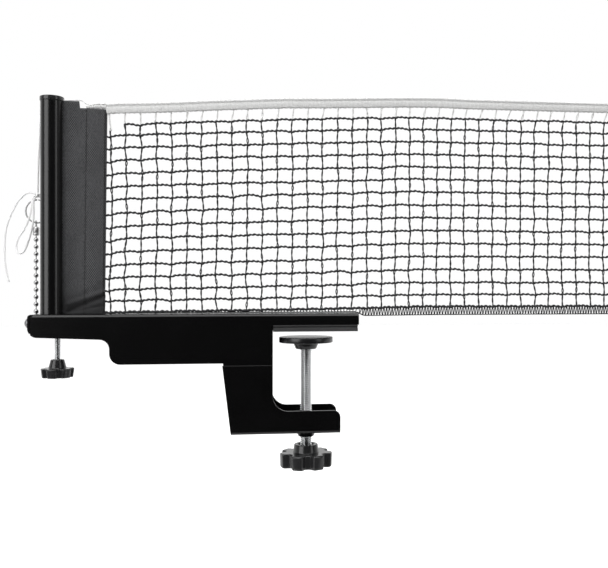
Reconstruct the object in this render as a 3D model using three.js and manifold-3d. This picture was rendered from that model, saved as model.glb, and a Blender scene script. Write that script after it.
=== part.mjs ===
// Table tennis net clamp: a folded sheet-steel bracket that a star-knob screw clamps to a table edge,
// with a slotted post that carries the net's sleeve, a screw under the post that sets the net's height,
// and a ball chain that holds the net's tension cord.
// Millimetres, +Z up, +X from the post towards the net, +Y away from the player who looks at it.
// The origin is on the underside of the rubber jaw pad, on the axis of the clamp screw.
import * as THREE from 'three';
import { mergeVertices } from 'three/addons/utils/BufferGeometryUtils.js';
import Module from 'manifold-3d';

const wasm = await Module();
wasm.setup();

// ---- driving dimensions ---------------------------------------------------------------------------

const fit = 0.3;                    // clearance between pieces that slide, turn or are cut round each other
const touch = 0.05;                 // clearance between flat plates that lie on each other

// bracket, heights above the jaw pad's underside
const postToScrew = 164.5;          // post axis to clamp screw axis
const sheet = 1.5;                  // steel sheet of both channels
const bracketWidth = 28;            // outside width of the upper channel
const bendRadius = 2.3;             // outside radius of its folds
const bracketTop = 11.8;            // top face
const postToSeam = 9.8;             // post axis to the left ends of the side plates
const shallowLeft = -2.6;           // lower edge of the side plates at the left end
const shallowRight = -4.5;          // and where the deep part begins
const endCorner = 6;                // radius of the lower left corner
const postToDrop = 38.5;            // post axis to the edge of the deep part
const dropBottom = -20.3;           // lower edge of the deep part
const dropFillet = 6.2;             // radius of the inside corner of that step
const dropCorner = 7;               // radius of its outside corner
const tongueBottom = -43;           // end of the tongue inside the clamp channel
const tongueInset = 0.4;            // tongue's slanted edge inside the channel's
const stopToScrew = 22.4;           // edge that stops the table to the clamp screw axis
const jawReach = 34.2;              // clamp screw axis to the jaw bar's end
const barBottom = 4.4;              // lower edge of the jaw bar's side plates
const padLip = 0.95;                // rubber lip under the bar's edge
const padGroove = 0.75;             // groove under the lip
const padInset = 0.7;               // pad ends short of the bar's end by this
const endFold = 2.0;                // outside radius of the fold at the left end
const endFlapBottom = -0.2;         // lower edge of the end flap
const beadSlot = 2.0;               // slot in the top plate that holds the ball chain
const beadMouth = 4.8;              // mouth in the end flap that lets a ball through

// clamp channel
const channelBottom = -66.7;        // underside
const channelTop = -21.7;           // upper edge of its side plates
const channelLeftTop = 54.9;        // slanted edge to the clamp screw axis, at the top
const channelLeftBottom = 49.5;     // and at the bottom
const armTop = -51.7;               // upper edge of the lower arm
const armReach = 21.8;              // clamp screw axis to the arm's end
const throatFillet = 10;            // radius of the throat's lower corner
const armCorner = 4.5;              // radius of the arm's end

// clamp screw and its pieces
const screwRadius = 4;              // M8
const bushCollar = 6.7;             // radius of the bush's collar under the channel
const bushShank = 5.6;              // radius of the bush in the channel's floor
const bushCollarHeight = 4;
const bushRise = 5.5;               // bush above the channel's underside
const plateRadius = 18;
const plateTop = -4.2;
const plateThickness = 3.7;
const plateHubTop = 8.3;            // radius of the plate's hub under the disc
const plateHubTip = 6.9;            // radius at its lower end
const plateHubHeight = 4.4;         // hub under the disc
const clipThickness = 1.2;
const clipRadius = 5;
const clampKnobTop = -76.8;         // upper end of the knob's hub
const clampKnob = {                 // valleyShare and lobeShare: where a lobe's flank starts and ends
  lobes: 7, radius: 17.6, valley: 13.8, valleyShare: 0.22, lobeShare: 0.62, height: 9.5, taper: 0.2, edge: 1.0,
  hubTop: 7.7, hubBase: 8.5, hubHeight: 4.6, recess: 1.6, recessRadius: 5.7, hole: screwRadius, turn: 40.4,
};

// post and what adjusts it
const postRadius = 7.1;
const postWall = 1.2;
const postTop = 149.4;
const postFoot = 0.9;               // lower end of the tube at rest
const postSlot = 3.0;
const capRadius = 7.5;
const capHeight = 3.9;
const capStem = 9;
const capGroove = 1.5;              // groove for the cord, round the back of the cap
const footLength = 10;              // plug in the tube's lower end
const blockLeft = 7.9;              // guide block to the left of the post axis
const blockRight = 16;
const blockBottom = -2.0;
const blockFloor = 0.6;             // floor of the guide block's bore
const heightScrewRadius = 2;        // M4
const heightScrewX = 3.5;           // its axis stands beside the post axis, towards the net
const nutFlats = 7;
const nutThickness = 2.2;
const heightKnobTop = -17.7;
const heightKnob = {
  lobes: 6, radius: 10.3, valley: 8.4, valleyShare: 0.12, lobeShare: 0.51, height: 6.0, taper: 0.6, edge: 0.6,
  hubTop: 4.2, hubBase: 5.5, hubHeight: 5.6, recess: 0.5, recessRadius: 3.0, hole: heightScrewRadius,
  turn: 20.4,
};
const endScrewHead = 3.5;           // radius of the end screw's dome head
const endScrewHeadHeight = 3.1;
const endScrewY = -7.6;
const endScrewZ = 6.2;
const endScrewLength = 6;

// net
const rodRadius = 2.5;              // rod in the sleeve's hem
const hemThickness = 1.3;
const clothThickness = 1.4;
const sleeveReach = 33.8;           // post axis to the sleeve's right edge
const sleeveTab = 17;               // post axis to the step in its upper edge
const sleeveTabTop = 149.2;
const sleeveTop = 145.5;
const sleeveLift = 0.3;             // sleeve and net clear the bracket's top face by this
const netReach = 386.3;             // post axis to the last vertical thread
const netColumns = 24;
const netRows = 12;
const threadWidth = 1.1;
const threadWave = 0.5;             // how far the knotted threads wander
const selvedgeTop = 14.6;
const selvedgeBottom = 9.9;         // beyond the bracket
const selvedgeThickness = 1.2;
const tapeHeight = 7.4;
const tapeThickness = 2.2;
const tapeStart = 22;               // post axis to the tape's end over the sleeve
const tapeTopLeft = 149.6;
const tapeRise = 6.4;               // the cord lifts the tape by this between the sleeve and mid-net
const tapeRiseStart = 34;
const tapeRiseEnd = 180;
const tapeRiseFar = 1.8;            // further slow rise up to the last thread

// cord, ring and chain
const cordRadius = 0.5;
const ringRadius = 7.5;
const ringWire = 0.55;
const ringX = -11.1;                // from the post axis
const ringY = 8.5;
const ringZ = 78.9;
const knotRadius = 1.9;
const eyeRadius = 1.4;
const eyeWire = 0.4;
const couplingRadius = 2.2;
const couplingDrop = 2.7;           // ring's wire to the coupling's upper end
const couplingLength = 5.9;
const couplingLean = 0.9;           // the coupling hangs this far to the left of the ring's lowest point
const beadRadius = 1.5;
const beadPitch = 4.7;
const beadNeck = 0.45;
const beadsBelow = 2;               // beads inside the bracket
const couplingMouth = 1.1;          // radius of the coupling's mouth, which takes the chain's last neck
const couplingMouthDepth = 1.8;
const beadHook = new THREE.Vector3(-10.6, 3.0, bracketTop - sheet / 2);   // neck in the slot, from the post axis

// ---- geometry helpers -----------------------------------------------------------------------------

// a closed solid from a three.js geometry: merged vertices, no slivers, faces pointing out
function solid(geometry) {
  const bare = geometry.index ? geometry.toNonIndexed() : geometry.clone();
  bare.deleteAttribute('normal');
  bare.deleteAttribute('uv');
  const merged = mergeVertices(bare, 1e-4);
  const points = merged.attributes.position.array;
  const corners = [];
  let volume = 0;
  const [a, b, c] = [new THREE.Vector3(), new THREE.Vector3(), new THREE.Vector3()];
  for (let i = 0; i < merged.index.count; i += 3) {
    const [u, v, w] = merged.index.array.slice(i, i + 3);
    if (u === v || v === w || w === u) continue;
    corners.push(u, v, w);
    a.fromArray(points, 3 * u);
    b.fromArray(points, 3 * v);
    c.fromArray(points, 3 * w);
    volume += a.dot(b.cross(c));
  }
  if (volume < 0) corners.reverse();
  return new wasm.Manifold(new wasm.Mesh({
    numProp: 3,
    vertProperties: new Float32Array(points),
    triVerts: new Uint32Array(corners),
  }));
}

// the named mesh of a solid, with its own material
function part(name, body, finish, place = [0, 0, 0]) {
  const { vertProperties, triVerts } = body.getMesh();
  const geometry = new THREE.BufferGeometry();
  geometry.setAttribute('position', new THREE.BufferAttribute(vertProperties, 3));
  geometry.setIndex(new THREE.BufferAttribute(triVerts, 1));
  geometry.computeVertexNormals();
  const mesh = new THREE.Mesh(geometry, new THREE.MeshStandardMaterial(finish));
  mesh.name = name;
  mesh.position.set(...place);
  return mesh;
}

// an outline from corners [x, y, radius], with each radius as an arc
function outline(corners) {
  const shape = new THREE.Shape();
  corners.forEach(([x, y, radius = 0], i) => {
    const go = (p) => (i === 0 ? shape.moveTo(p.x, p.y) : shape.lineTo(p.x, p.y));
    const here = new THREE.Vector2(x, y);
    if (radius === 0) {
      go(here);
      return;
    }
    const [before, after] = [corners.at(i - 1), corners[(i + 1) % corners.length]];
    const back = new THREE.Vector2(before[0], before[1]).sub(here).normalize();
    const on = new THREE.Vector2(after[0], after[1]).sub(here).normalize();
    const half = Math.acos(back.dot(on)) / 2;
    const start = here.clone().addScaledVector(back, radius / Math.tan(half));
    const end = here.clone().addScaledVector(on, radius / Math.tan(half));
    const centre = back.clone().add(on).normalize().multiplyScalar(radius / Math.sin(half)).add(here);
    go(start);
    const clockwise = back.cross(on) > 0;
    shape.absarc(centre.x, centre.y, radius, start.sub(centre).angle(), end.sub(centre).angle(), clockwise);
  });
  return shape;
}

// an outline drawn in x and z, made into a plate between two y
function plateXZ(shape, yLow, yHigh, curveSegments = 4) {
  const geometry = new THREE.ExtrudeGeometry(shape, { depth: yHigh - yLow, bevelEnabled: false, curveSegments });
  return solid(geometry.rotateX(Math.PI / 2).translate(0, yHigh, 0));
}

// an outline drawn in y and z, made into a bar between two x
function barYZ(shape, xLow, xHigh, curveSegments = 3) {
  const geometry = new THREE.ExtrudeGeometry(shape, { depth: xHigh - xLow, bevelEnabled: false, curveSegments });
  const turn = new THREE.Matrix4().makeBasis(
    new THREE.Vector3(0, 1, 0), new THREE.Vector3(0, 0, 1), new THREE.Vector3(1, 0, 0));
  return solid(geometry.applyMatrix4(turn).translate(xLow, 0, 0));
}

// an outline drawn in x and y, made into a column between two z
function columnXY(shape, zLow, zHigh, curveSegments = 10) {
  const geometry = new THREE.ExtrudeGeometry(shape, { depth: zHigh - zLow, bevelEnabled: false, curveSegments });
  return solid(geometry.translate(0, 0, zLow));
}

// a turned piece about z, from [radius, z] points; a profile that leaves the axis closes on itself
function turned(profile, sides = 32) {
  const onAxis = profile[0][0] === 0 && profile.at(-1)[0] === 0;
  const points = (onAxis ? profile : [...profile, profile[0]]).map(([r, z]) => new THREE.Vector2(r, z));
  return solid(new THREE.LatheGeometry(points, sides).rotateX(Math.PI / 2));
}

function block(xLow, xHigh, yLow, yHigh, zLow, zHigh) {
  const geometry = new THREE.BoxGeometry(xHigh - xLow, yHigh - yLow, zHigh - zLow);
  return solid(geometry.translate((xLow + xHigh) / 2, (yLow + yHigh) / 2, (zLow + zHigh) / 2));
}

function rodZ(radius, zLow, zHigh, sides = 32, x = 0, y = 0) {
  const geometry = new THREE.CylinderGeometry(radius, radius, zHigh - zLow, sides);
  return solid(geometry.rotateX(Math.PI / 2).translate(x, y, (zLow + zHigh) / 2));
}

// a hexagon with a flat towards +X
function hexZ(flats, zLow, zHigh) {
  const corner = flats / Math.sqrt(3);
  const geometry = new THREE.CylinderGeometry(corner, corner, zHigh - zLow, 6);
  return solid(geometry.rotateX(Math.PI / 2).translate(0, 0, (zLow + zHigh) / 2));
}

// a round cord along a smooth route
function cordAlong(points, radius, steps) {
  const path = new THREE.CatmullRomCurve3(points.map((p) => new THREE.Vector3(...p)), false, 'centripetal');
  const ring = new THREE.Shape();
  ring.absarc(0, 0, radius, 0, 2 * Math.PI);
  const options = { steps, extrudePath: path, bevelEnabled: false, curveSegments: 4 };
  return solid(new THREE.ExtrudeGeometry(ring, options));
}

// ---- finishes -------------------------------------------------------------------------------------

const blackPaint = { color: 0x1a1a1b, roughness: 0.42, metalness: 0.35 };
const blackPlastic = { color: 0x222324, roughness: 0.5, metalness: 0 };
const blackRubber = { color: 0x2e2f30, roughness: 0.85, metalness: 0 };
const brightZinc = { color: 0xc9ccd0, roughness: 0.28, metalness: 1 };
const blackCloth = { color: 0x34353a, roughness: 0.95, metalness: 0 };
const blackThread = { color: 0x1c1c1e, roughness: 0.9, metalness: 0 };
const whiteCloth = { color: 0xf1f1ee, roughness: 0.9, metalness: 0 };
const whiteCord = { color: 0xf4f4f1, roughness: 0.7, metalness: 0 };
const naturalNylon = { color: 0x26272a, roughness: 0.6, metalness: 0 };

// ---- bracket --------------------------------------------------------------------------------------

const halfWidth = bracketWidth / 2;
const innerHalf = halfWidth - sheet;
const postX = -postToScrew;
const sleeveBottom = bracketTop + sleeveLift;
const seamX = postX - postToSeam;
const flapIn = seamX - fit;
const flapOut = flapIn - sheet;
const plateUnder = bracketTop - sheet;

// a channel's cross-section: a plate at level `web` with two sides that end at level `open`
function channelSection(width, web, open, bend) {
  const half = width / 2;
  const side = Math.sign(web - open);
  const inner = web - side * sheet;
  return outline([
    [-half, open], [-half, web, bend], [half, web, bend], [half, open],
    [half - sheet, open], [half - sheet, inner, bend - sheet],
    [-half + sheet, inner, bend - sheet], [-half + sheet, open],
  ]);
}

function upperBracket() {
  const section = channelSection(bracketWidth, bracketTop, tongueBottom, bendRadius);
  const channel = barYZ(section, seamX, jawReach);
  const slant = (channelLeftTop - channelLeftBottom) / (channelTop - channelBottom);
  const tongueLeft = -channelLeftTop + tongueInset;
  const side = outline([
    [flapOut, bracketTop + 1], [flapOut, shallowLeft, endCorner], [postX + postToDrop, shallowRight, dropFillet],
    [postX + postToDrop, dropBottom, dropCorner], [tongueLeft, dropBottom],
    [tongueLeft + slant * (dropBottom - tongueBottom), tongueBottom], [-stopToScrew, tongueBottom],
    [-stopToScrew, barBottom], [jawReach, barBottom], [jawReach + 1, bracketTop + 1],
  ]);
  const plates = channel.intersect(plateXZ(side, -halfWidth - 1, halfWidth + 1, 5));

  // the end of the top plate is folded down between the side plates' ends
  const flapSide = outline([
    [flapOut, endFlapBottom], [flapIn, endFlapBottom], [flapIn, plateUnder, endFold - sheet],
    [seamX + 1, plateUnder], [seamX + 1, bracketTop], [flapOut, bracketTop, endFold],
  ]);
  const flap = plateXZ(flapSide, -halfWidth + touch, halfWidth - touch)
    .intersect(plateXZ(side, -halfWidth, halfWidth, 5));

  // holes: post, bead slot with its mouth, end screw
  const hookX = postX + beadHook.x;
  const postHole = rodZ(postRadius + fit, plateUnder - 1, bracketTop + 1, 40, postX);
  const slotEnd = hookX + beadSlot / 2;
  const slot = block(flapOut - 1, slotEnd, beadHook.y - beadSlot / 2, beadHook.y + beadSlot / 2, 0, bracketTop + 1);
  const mouth = block(flapOut - 1, flapIn + endFold - sheet + 0.2, beadHook.y - beadMouth / 2,
    beadHook.y + beadMouth / 2, endFlapBottom - 1, plateUnder + 0.1);
  const screwHole = rodZ(heightScrewRadius + fit, -8, 8, 20)
    .rotate([0, 90, 0])
    .translate([flapOut, endScrewY, endScrewZ]);
  return plates.add(flap).subtract(postHole).subtract(slot).subtract(mouth).subtract(screwHole);
}

function clampChannel() {
  const outerWidth = bracketWidth + 2 * (sheet + touch);
  const section = channelSection(outerWidth, channelBottom, channelTop, bendRadius);
  const channel = barYZ(section, -channelLeftTop - 1, armReach);
  const side = outline([
    [-channelLeftBottom, channelBottom], [armReach, channelBottom], [armReach, armTop, armCorner],
    [-stopToScrew, armTop, throatFillet], [-stopToScrew, channelTop], [-channelLeftTop, channelTop],
  ]);
  const floorHole = rodZ(bushShank + fit, channelBottom - 1, channelBottom + sheet + 1);
  return channel.intersect(plateXZ(side, -outerWidth, outerWidth, 5)).subtract(floorHole);
}

// steel strap between the bar's side plates, which backs the pad
function jawPlate() {
  const left = -stopToScrew + 2;
  const half = innerHalf - touch;
  return block(left, jawReach - padInset, -half, half, barBottom + touch, barBottom + sheet);
}

// rubber pad with a lip under the bar's edges and a groove below the lip
function jawPad() {
  const top = barBottom - touch;
  const lipHalf = halfWidth - 0.1;
  const grooveHalf = halfWidth - 1.6;
  const padHalf = halfWidth - 0.3;
  const section = outline([
    [-lipHalf, top], [-lipHalf, top - padLip], [-grooveHalf, top - padLip], [-grooveHalf, top - padLip - padGroove],
    [-padHalf, top - padLip - padGroove, 0.4], [-padHalf, 0, 0.3], [padHalf, 0, 0.3],
    [padHalf, top - padLip - padGroove, 0.4], [grooveHalf, top - padLip - padGroove], [grooveHalf, top - padLip],
    [lipHalf, top - padLip], [lipHalf, top],
  ]);
  return barYZ(section, -stopToScrew + fit, jawReach - padInset, 3);
}

// threaded bush, pushed through the channel's floor from below and welded at its collar
function threadBush() {
  const under = channelBottom - touch;
  const bore = screwRadius + fit;
  return turned([
    [bore, under - bushCollarHeight], [bore + 0.8, under - bushCollarHeight], [bushCollar, under - 0.8],
    [bushCollar, under], [bushShank, under], [bushShank, channelBottom + bushRise - 0.5],
    [bushShank - 0.5, channelBottom + bushRise], [bore, channelBottom + bushRise],
  ]);
}

// moulded block between the side plates, which guides the post's foot and holds the height screw's nut
function guideBlock() {
  const half = innerHalf - fit;
  const top = plateUnder - fit;
  const lugRight = -blockLeft;
  const body = plateXZ(outline([
    [-blockLeft, blockBottom, 1], [blockRight, blockBottom, 1], [blockRight, top, 1], [-blockLeft, top],
  ]), -half, half);
  const lug = block(-postToSeam, lugRight + 1, -half, -half + 9.4, endFlapBottom, top);
  const bore = rodZ(postRadius + fit, blockFloor, top + 1, 40);
  const nutPocket = hexZ(nutFlats + 2 * fit, blockFloor - nutThickness - fit, blockFloor + 1)
    .translate([heightScrewX, 0, 0]);
  const screwHole = rodZ(heightScrewRadius + fit, blockBottom - 1, blockFloor + 1, 20, heightScrewX);
  const endHole = rodZ(heightScrewRadius + fit, -10, 5, 20)
    .rotate([0, 90, 0])
    .translate([-blockLeft, endScrewY, endScrewZ]);
  return body.add(lug).subtract(bore).subtract(nutPocket).subtract(screwHole).subtract(endHole);
}

// dome-head screw through the end flap into the guide block
function endScrew() {
  const dome = [0.98, 0.9, 0.74, 0.5, 0.24].map((share) => [
    endScrewHead * share, endScrewHeadHeight * Math.sqrt(1 - share * share) * 0.95 + 0.1,
  ]);
  const socket = 1.1;
  return turned([
    [0, -endScrewLength], [heightScrewRadius, -endScrewLength], [heightScrewRadius, 0], [endScrewHead, 0],
    [endScrewHead, 0.3], ...dome.slice(0, -1), [socket, endScrewHeadHeight], [socket, endScrewHeadHeight - 1.4],
    [0, endScrewHeadHeight - 1.8],
  ], 16).rotate([0, -90, 0]);
}

function heightNut() {
  const low = blockFloor - nutThickness - fit / 2;
  const bore = rodZ(heightScrewRadius + fit / 2, low - 1, blockFloor + 1, 24);
  return hexZ(nutFlats, low, low + nutThickness).subtract(bore);
}

// ---- clamp screw ----------------------------------------------------------------------------------

const hubBottom = plateTop - plateThickness - plateHubHeight;
const clipTop = plateTop - plateThickness - 0.9;
const screwTop = plateTop - 2.4;

function pressurePlate() {
  const under = plateTop - plateThickness;
  const bore = screwRadius + fit;
  const pocket = clipRadius + fit;
  return turned([
    [0, plateTop], [plateRadius - 0.8, plateTop], [plateRadius - 0.2, plateTop - 0.25], [plateRadius, plateTop - 0.8],
    [plateRadius - 0.1, under + 0.5], [plateRadius - 0.8, under],
    [plateHubTop + 3, under - 0.35], [plateHubTop + 0.9, under - 0.9], [plateHubTop, under - 1.9],
    [plateHubTip + 0.2, hubBottom + 0.9], [plateHubTip - 0.6, hubBottom], [bore, hubBottom],
    [bore, clipTop - clipThickness - fit], [pocket, clipTop - clipThickness - fit], [pocket, clipTop + fit],
    [bore, clipTop + fit], [bore, screwTop + fit], [0, screwTop + fit],
  ], 40);
}

// clip in the screw's groove, which the pressure plate swivels on
function retainingClip() {
  const low = clipTop - clipThickness;
  const ring = new THREE.Shape();
  ring.absarc(0, 0, clipRadius, 0.35, 2 * Math.PI - 0.35, false);
  ring.absarc(0, 0, screwRadius - 0.8 + fit, 2 * Math.PI - 0.6, 0.6, true);
  return columnXY(ring, low, clipTop, 16);
}

function clampScrew() {
  const neck = screwRadius - 0.8;
  const end = clampKnobTop - clampKnob.hubHeight - 3;
  return turned([
    [0, end], [screwRadius, end], [screwRadius, clipTop - clipThickness - fit / 2],
    [neck, clipTop - clipThickness - fit / 2], [neck, clipTop + fit / 2], [screwRadius, clipTop + fit / 2],
    [screwRadius, screwTop - 0.6], [screwRadius - 0.6, screwTop], [0, screwTop],
  ], 32);
}

// moulded star knob: lobes with rounded valleys under a tapered hub; z = 0 is the hub's upper end
function starKnob(size) {
  const { lobes, radius, valley, height, taper, edge, hubTop, hubBase, hubHeight, recess, recessRadius } = size;
  const star = (shrink) => {
    const points = [];
    const perLobe = 12;
    for (let i = 0; i < lobes * perLobe; i += 1) {
      const angle = (2 * Math.PI * i) / (lobes * perLobe);
      const wave = Math.abs(((i % perLobe) / perLobe) * 2 - 1);
      const swell = THREE.MathUtils.smoothstep(wave, size.valleyShare, size.lobeShare);
      const reach = valley + (radius - valley) * swell - shrink;
      points.push(new THREE.Vector2(reach * Math.cos(angle), reach * Math.sin(angle)));
    }
    return points;
  };
  const top = -hubHeight;
  const levels = [
    [top, edge], [top - edge, 0], [top - height + edge * 1.5, taper], [top - height, taper + edge * 1.3],
  ];
  const rings = levels.map(([z, shrink]) => star(shrink).map((p) => [p.x, p.y, z]));
  const body = loft(rings);
  const hub = turned([
    [0, top - 1], [hubBase, top - 1], [hubBase, top], [hubTop + 0.35, -0.9], [hubTop - 0.6, 0],
    [recessRadius, 0], [recessRadius - 0.5, -recess], [0, -recess],
  ], 24);
  const under = turned([
    [0, top - height - 1], [valley - 3.2, top - height - 1], [valley - 3.4, top - height + 1.2],
    [0, top - height + 1.2],
  ], 24);
  const bore = rodZ(size.hole + fit, top - 3 - fit, 1, 28);
  return body.add(hub).subtract(under).subtract(bore).rotate([0, 0, size.turn]);
}

// a closed skin over rings of equal numbers of points, from the top ring down
function loft(rings) {
  const count = rings[0].length;
  const vertices = rings.flat(2);
  const index = [];
  rings.slice(0, -1).forEach((_, r) => {
    for (let i = 0; i < count; i += 1) {
      const j = (i + 1) % count;
      const [a, b, c, d] = [r * count + i, r * count + j, (r + 1) * count + i, (r + 1) * count + j];
      index.push(a, c, b, b, c, d);
    }
  });
  const last = (rings.length - 1) * count;
  const face = (ring) => THREE.ShapeUtils.triangulateShape(ring.map(([x, y]) => new THREE.Vector2(x, y)), []);
  face(rings[0]).forEach(([a, b, c]) => index.push(a, b, c));
  face(rings.at(-1)).forEach(([a, b, c]) => index.push(last + c, last + b, last + a));
  const geometry = new THREE.BufferGeometry();
  geometry.setAttribute('position', new THREE.Float32BufferAttribute(vertices, 3));
  geometry.setIndex(index);
  return solid(geometry);
}

// ---- post -----------------------------------------------------------------------------------------

const postBore = postRadius - postWall;

// tube with a slot down its net side, which the sleeve passes through
function postTube() {
  const outerAngle = Math.asin(postSlot / 2 / postRadius);
  const innerAngle = Math.asin(postSlot / 2 / postBore);
  const ring = new THREE.Shape();
  ring.absarc(0, 0, postRadius, outerAngle, 2 * Math.PI - outerAngle, false);
  ring.absarc(0, 0, postBore, 2 * Math.PI - innerAngle, innerAngle, true);
  return columnXY(ring, postFoot, postTop, 20);
}

// domed cap with a stem in the tube and a groove round its back for the cord
function postCap() {
  const low = postTop + touch;
  const high = postTop + capHeight;
  const stem = postBore - fit;
  const cap = turned([
    [0, low - capStem], [stem - 0.6, low - capStem], [stem, low - capStem + 0.8], [stem, low], [capRadius - 0.2, low],
    [capRadius, low + 0.3], [capRadius, high - 1.2], [capRadius - 0.4, high - 0.65], [capRadius - 1.4, high - 0.3],
    [capRadius - 3.4, high - 0.08], [0, high],
  ], 32);
  const middle = postTop + 1.8;
  const groove = turned([
    [capRadius - 1, middle - capGroove / 2], [capRadius + 1, middle - capGroove / 2],
    [capRadius + 1, middle + capGroove / 2], [capRadius - 1, middle + capGroove / 2],
  ], 32);
  const back = block(-capRadius - 2, capRadius + 2, 1.5, capRadius + 2, middle - 2, middle + 2);
  const sleeveNotch = block(0, capRadius, -postSlot / 2, postSlot / 2, low - capStem - 1, low - fit);
  return cap.subtract(groove.intersect(back)).subtract(sleeveNotch);
}

function footPlug() {
  const radius = postBore - fit;
  return turned([
    [0, postFoot + 0.3], [radius - 0.5, postFoot + 0.3], [radius, postFoot + 0.8],
    [radius, postFoot + footLength - 0.5], [radius - 0.5, postFoot + footLength], [0, postFoot + footLength],
  ]);
}

function heightScrew() {
  const end = heightKnobTop - heightKnob.hubHeight - 3;
  const tip = postFoot + 0.3 - fit;
  return turned([
    [0, end], [heightScrewRadius, end], [heightScrewRadius, tip - 0.6], [heightScrewRadius - 0.6, tip], [0, tip],
  ], 24);
}

// ---- net ------------------------------------------------------------------------------------------

const rodBottom = postFoot + footLength + fit;
const capLow = postTop + touch - capStem;

// black cloth: a hem round the rod inside the tube, a neck through the slot and a slightly wavy panel
function netSleeve() {
  const hole = rodRadius + fit;
  const hem = hole + hemThickness;
  const half = clothThickness / 2;
  const neck = Math.asin(half / hem);
  const wave = (x) => 0.7 * Math.sin(((x - postRadius) / (sleeveReach - postRadius)) * 2 * Math.PI);
  const steps = 10;
  const edge = Array.from({ length: steps + 1 }, (_, i) => {
    const x = postRadius + 1 + ((sleeveReach - postRadius - 1) * i) / steps;
    return new THREE.Vector2(x, wave(x));
  });
  const shape = new THREE.Shape();
  shape.absarc(0, 0, hem, neck, 2 * Math.PI - neck, false);
  edge.forEach((p) => shape.lineTo(p.x, p.y - half));
  edge.reverse().forEach((p) => shape.lineTo(p.x, p.y + half));
  const bore = new THREE.Path();
  bore.absarc(0, 0, hole, 0, 2 * Math.PI, true);
  shape.holes.push(bore);
  const cloth = columnXY(shape, sleeveBottom, sleeveTabTop, 10);
  const step = block(sleeveTab, sleeveReach + 1, -4, 4, sleeveTop, sleeveTabTop + 1);
  const stemRoom = block(-hem - 1, postRadius, -hem - 1, hem + 1, capLow - fit, sleeveTabTop + 1);
  return cloth.subtract(step).subtract(stemRoom);
}

function netRod() {
  return rodZ(rodRadius, rodBottom, capLow - fit, 20);
}

function tapeTop(x) {
  const far = THREE.MathUtils.clamp((x - tapeRiseEnd) / (netReach - tapeRiseEnd), 0, 1);
  return tapeTopLeft + tapeRise * THREE.MathUtils.smoothstep(x, tapeRiseStart, tapeRiseEnd) + tapeRiseFar * far;
}

// flat net of knotted threads: a lattice whose threads wander a little from the straight
function netMesh() {
  const left = sleeveReach + fit;
  const low = selvedgeTop + fit;
  const high = (x) => tapeTop(x) - tapeHeight - fit;
  const half = threadWidth / 2;
  const vertices = [];
  const at = new Map();
  const corner = (column, row, side, level, face) => {
    const key = [column, row, side, level, face].join();
    if (!at.has(key)) {
      const inside = column > 0 && column < netColumns && row > 0 && row < netRows;
      const wander = inside ? threadWave : 0;
      const x0 = left + half + ((netReach - left - 2 * half) * column) / netColumns;
      const x = x0 + wander * Math.sin(1.7 * row + 0.9 * column);
      const z0 = low + half + ((high(x0) - low - 2 * half) * row) / netRows;
      const z = z0 + wander * Math.sin(2.1 * column + 0.6 * row);
      at.set(key, vertices.length / 3);
      vertices.push(x + side * half, face * half * 0.9, z + level * half);
    }
    return at.get(key);
  };
  const index = [];
  const quad = (a, b, c, d) => index.push(a, b, c, a, c, d);
  const facePair = (a, b, c, d) => {
    quad(...[a, b, c, d].map((k) => corner(...k, -1)));
    quad(...[d, c, b, a].map((k) => corner(...k, 1)));
  };
  const wall = (a, b) => quad(corner(...a, 1), corner(...b, 1), corner(...b, -1), corner(...a, -1));
  for (let i = 0; i <= netColumns; i += 1) {
    for (let j = 0; j <= netRows; j += 1) {
      facePair([i, j, -1, -1], [i, j, 1, -1], [i, j, 1, 1], [i, j, -1, 1]);
      if (i < netColumns) facePair([i, j, 1, -1], [i + 1, j, -1, -1], [i + 1, j, -1, 1], [i, j, 1, 1]);
      if (j < netRows) facePair([i, j, -1, 1], [i, j, 1, 1], [i, j + 1, 1, -1], [i, j + 1, -1, -1]);
      if (i < netColumns && j < netRows) {
        const gap = [[i, j, 1, 1], [i, j + 1, 1, -1], [i + 1, j + 1, -1, -1], [i + 1, j, -1, 1]];
        gap.forEach((k, n) => wall(k, gap[(n + 1) % 4]));
      }
    }
  }
  const rim = [];
  for (let i = 0; i <= netColumns; i += 1) rim.push([i, 0, -1, -1], [i, 0, 1, -1]);
  for (let j = 0; j <= netRows; j += 1) rim.push([netColumns, j, 1, -1], [netColumns, j, 1, 1]);
  for (let i = netColumns; i >= 0; i -= 1) rim.push([i, netRows, 1, 1], [i, netRows, -1, 1]);
  for (let j = netRows; j >= 0; j -= 1) rim.push([0, j, -1, 1], [0, j, -1, -1]);
  rim.forEach((k, n) => {
    const next = rim[(n + 1) % rim.length];
    if (k.join() !== next.join()) wall(k, next);
  });
  const geometry = new THREE.BufferGeometry();
  geometry.setAttribute('position', new THREE.Float32BufferAttribute(vertices, 3));
  geometry.setIndex(index);
  return solid(geometry);
}

// band along the net's lower edge: it rests on the bracket, and hangs lower beyond the jaw bar
function netSelvedge() {
  const barEnd = postToScrew + jawReach;
  return plateXZ(outline([
    [sleeveReach + fit, sleeveBottom], [barEnd + 1, sleeveBottom], [barEnd + 7, selvedgeBottom],
    [netReach, selvedgeBottom], [netReach, selvedgeTop], [sleeveReach + fit, selvedgeTop],
  ]), -selvedgeThickness / 2, selvedgeThickness / 2);
}

// white tape folded over the cord: its upper edge rises from the sleeve towards mid-net
function netTape() {
  const steps = 12;
  const step = (tapeRiseEnd - tapeRiseStart) / steps;
  const rise = Array.from({ length: steps + 1 }, (_, i) => tapeRiseStart + step * i);
  const xs = [...rise, netReach];
  const over = sleeveReach + fit;
  return plateXZ(outline([
    [tapeStart, sleeveTop + fit], [over, sleeveTop + fit], [over, tapeTopLeft - tapeHeight],
    ...xs.slice(1).map((x) => [x, tapeTop(x) - tapeHeight]), ...xs.reverse().map((x) => [x, tapeTop(x)]),
    [tapeStart, tapeTopLeft],
  ]), -tapeThickness / 2, tapeThickness / 2);
}

// ---- cord, ring and chain -------------------------------------------------------------------------

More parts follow.
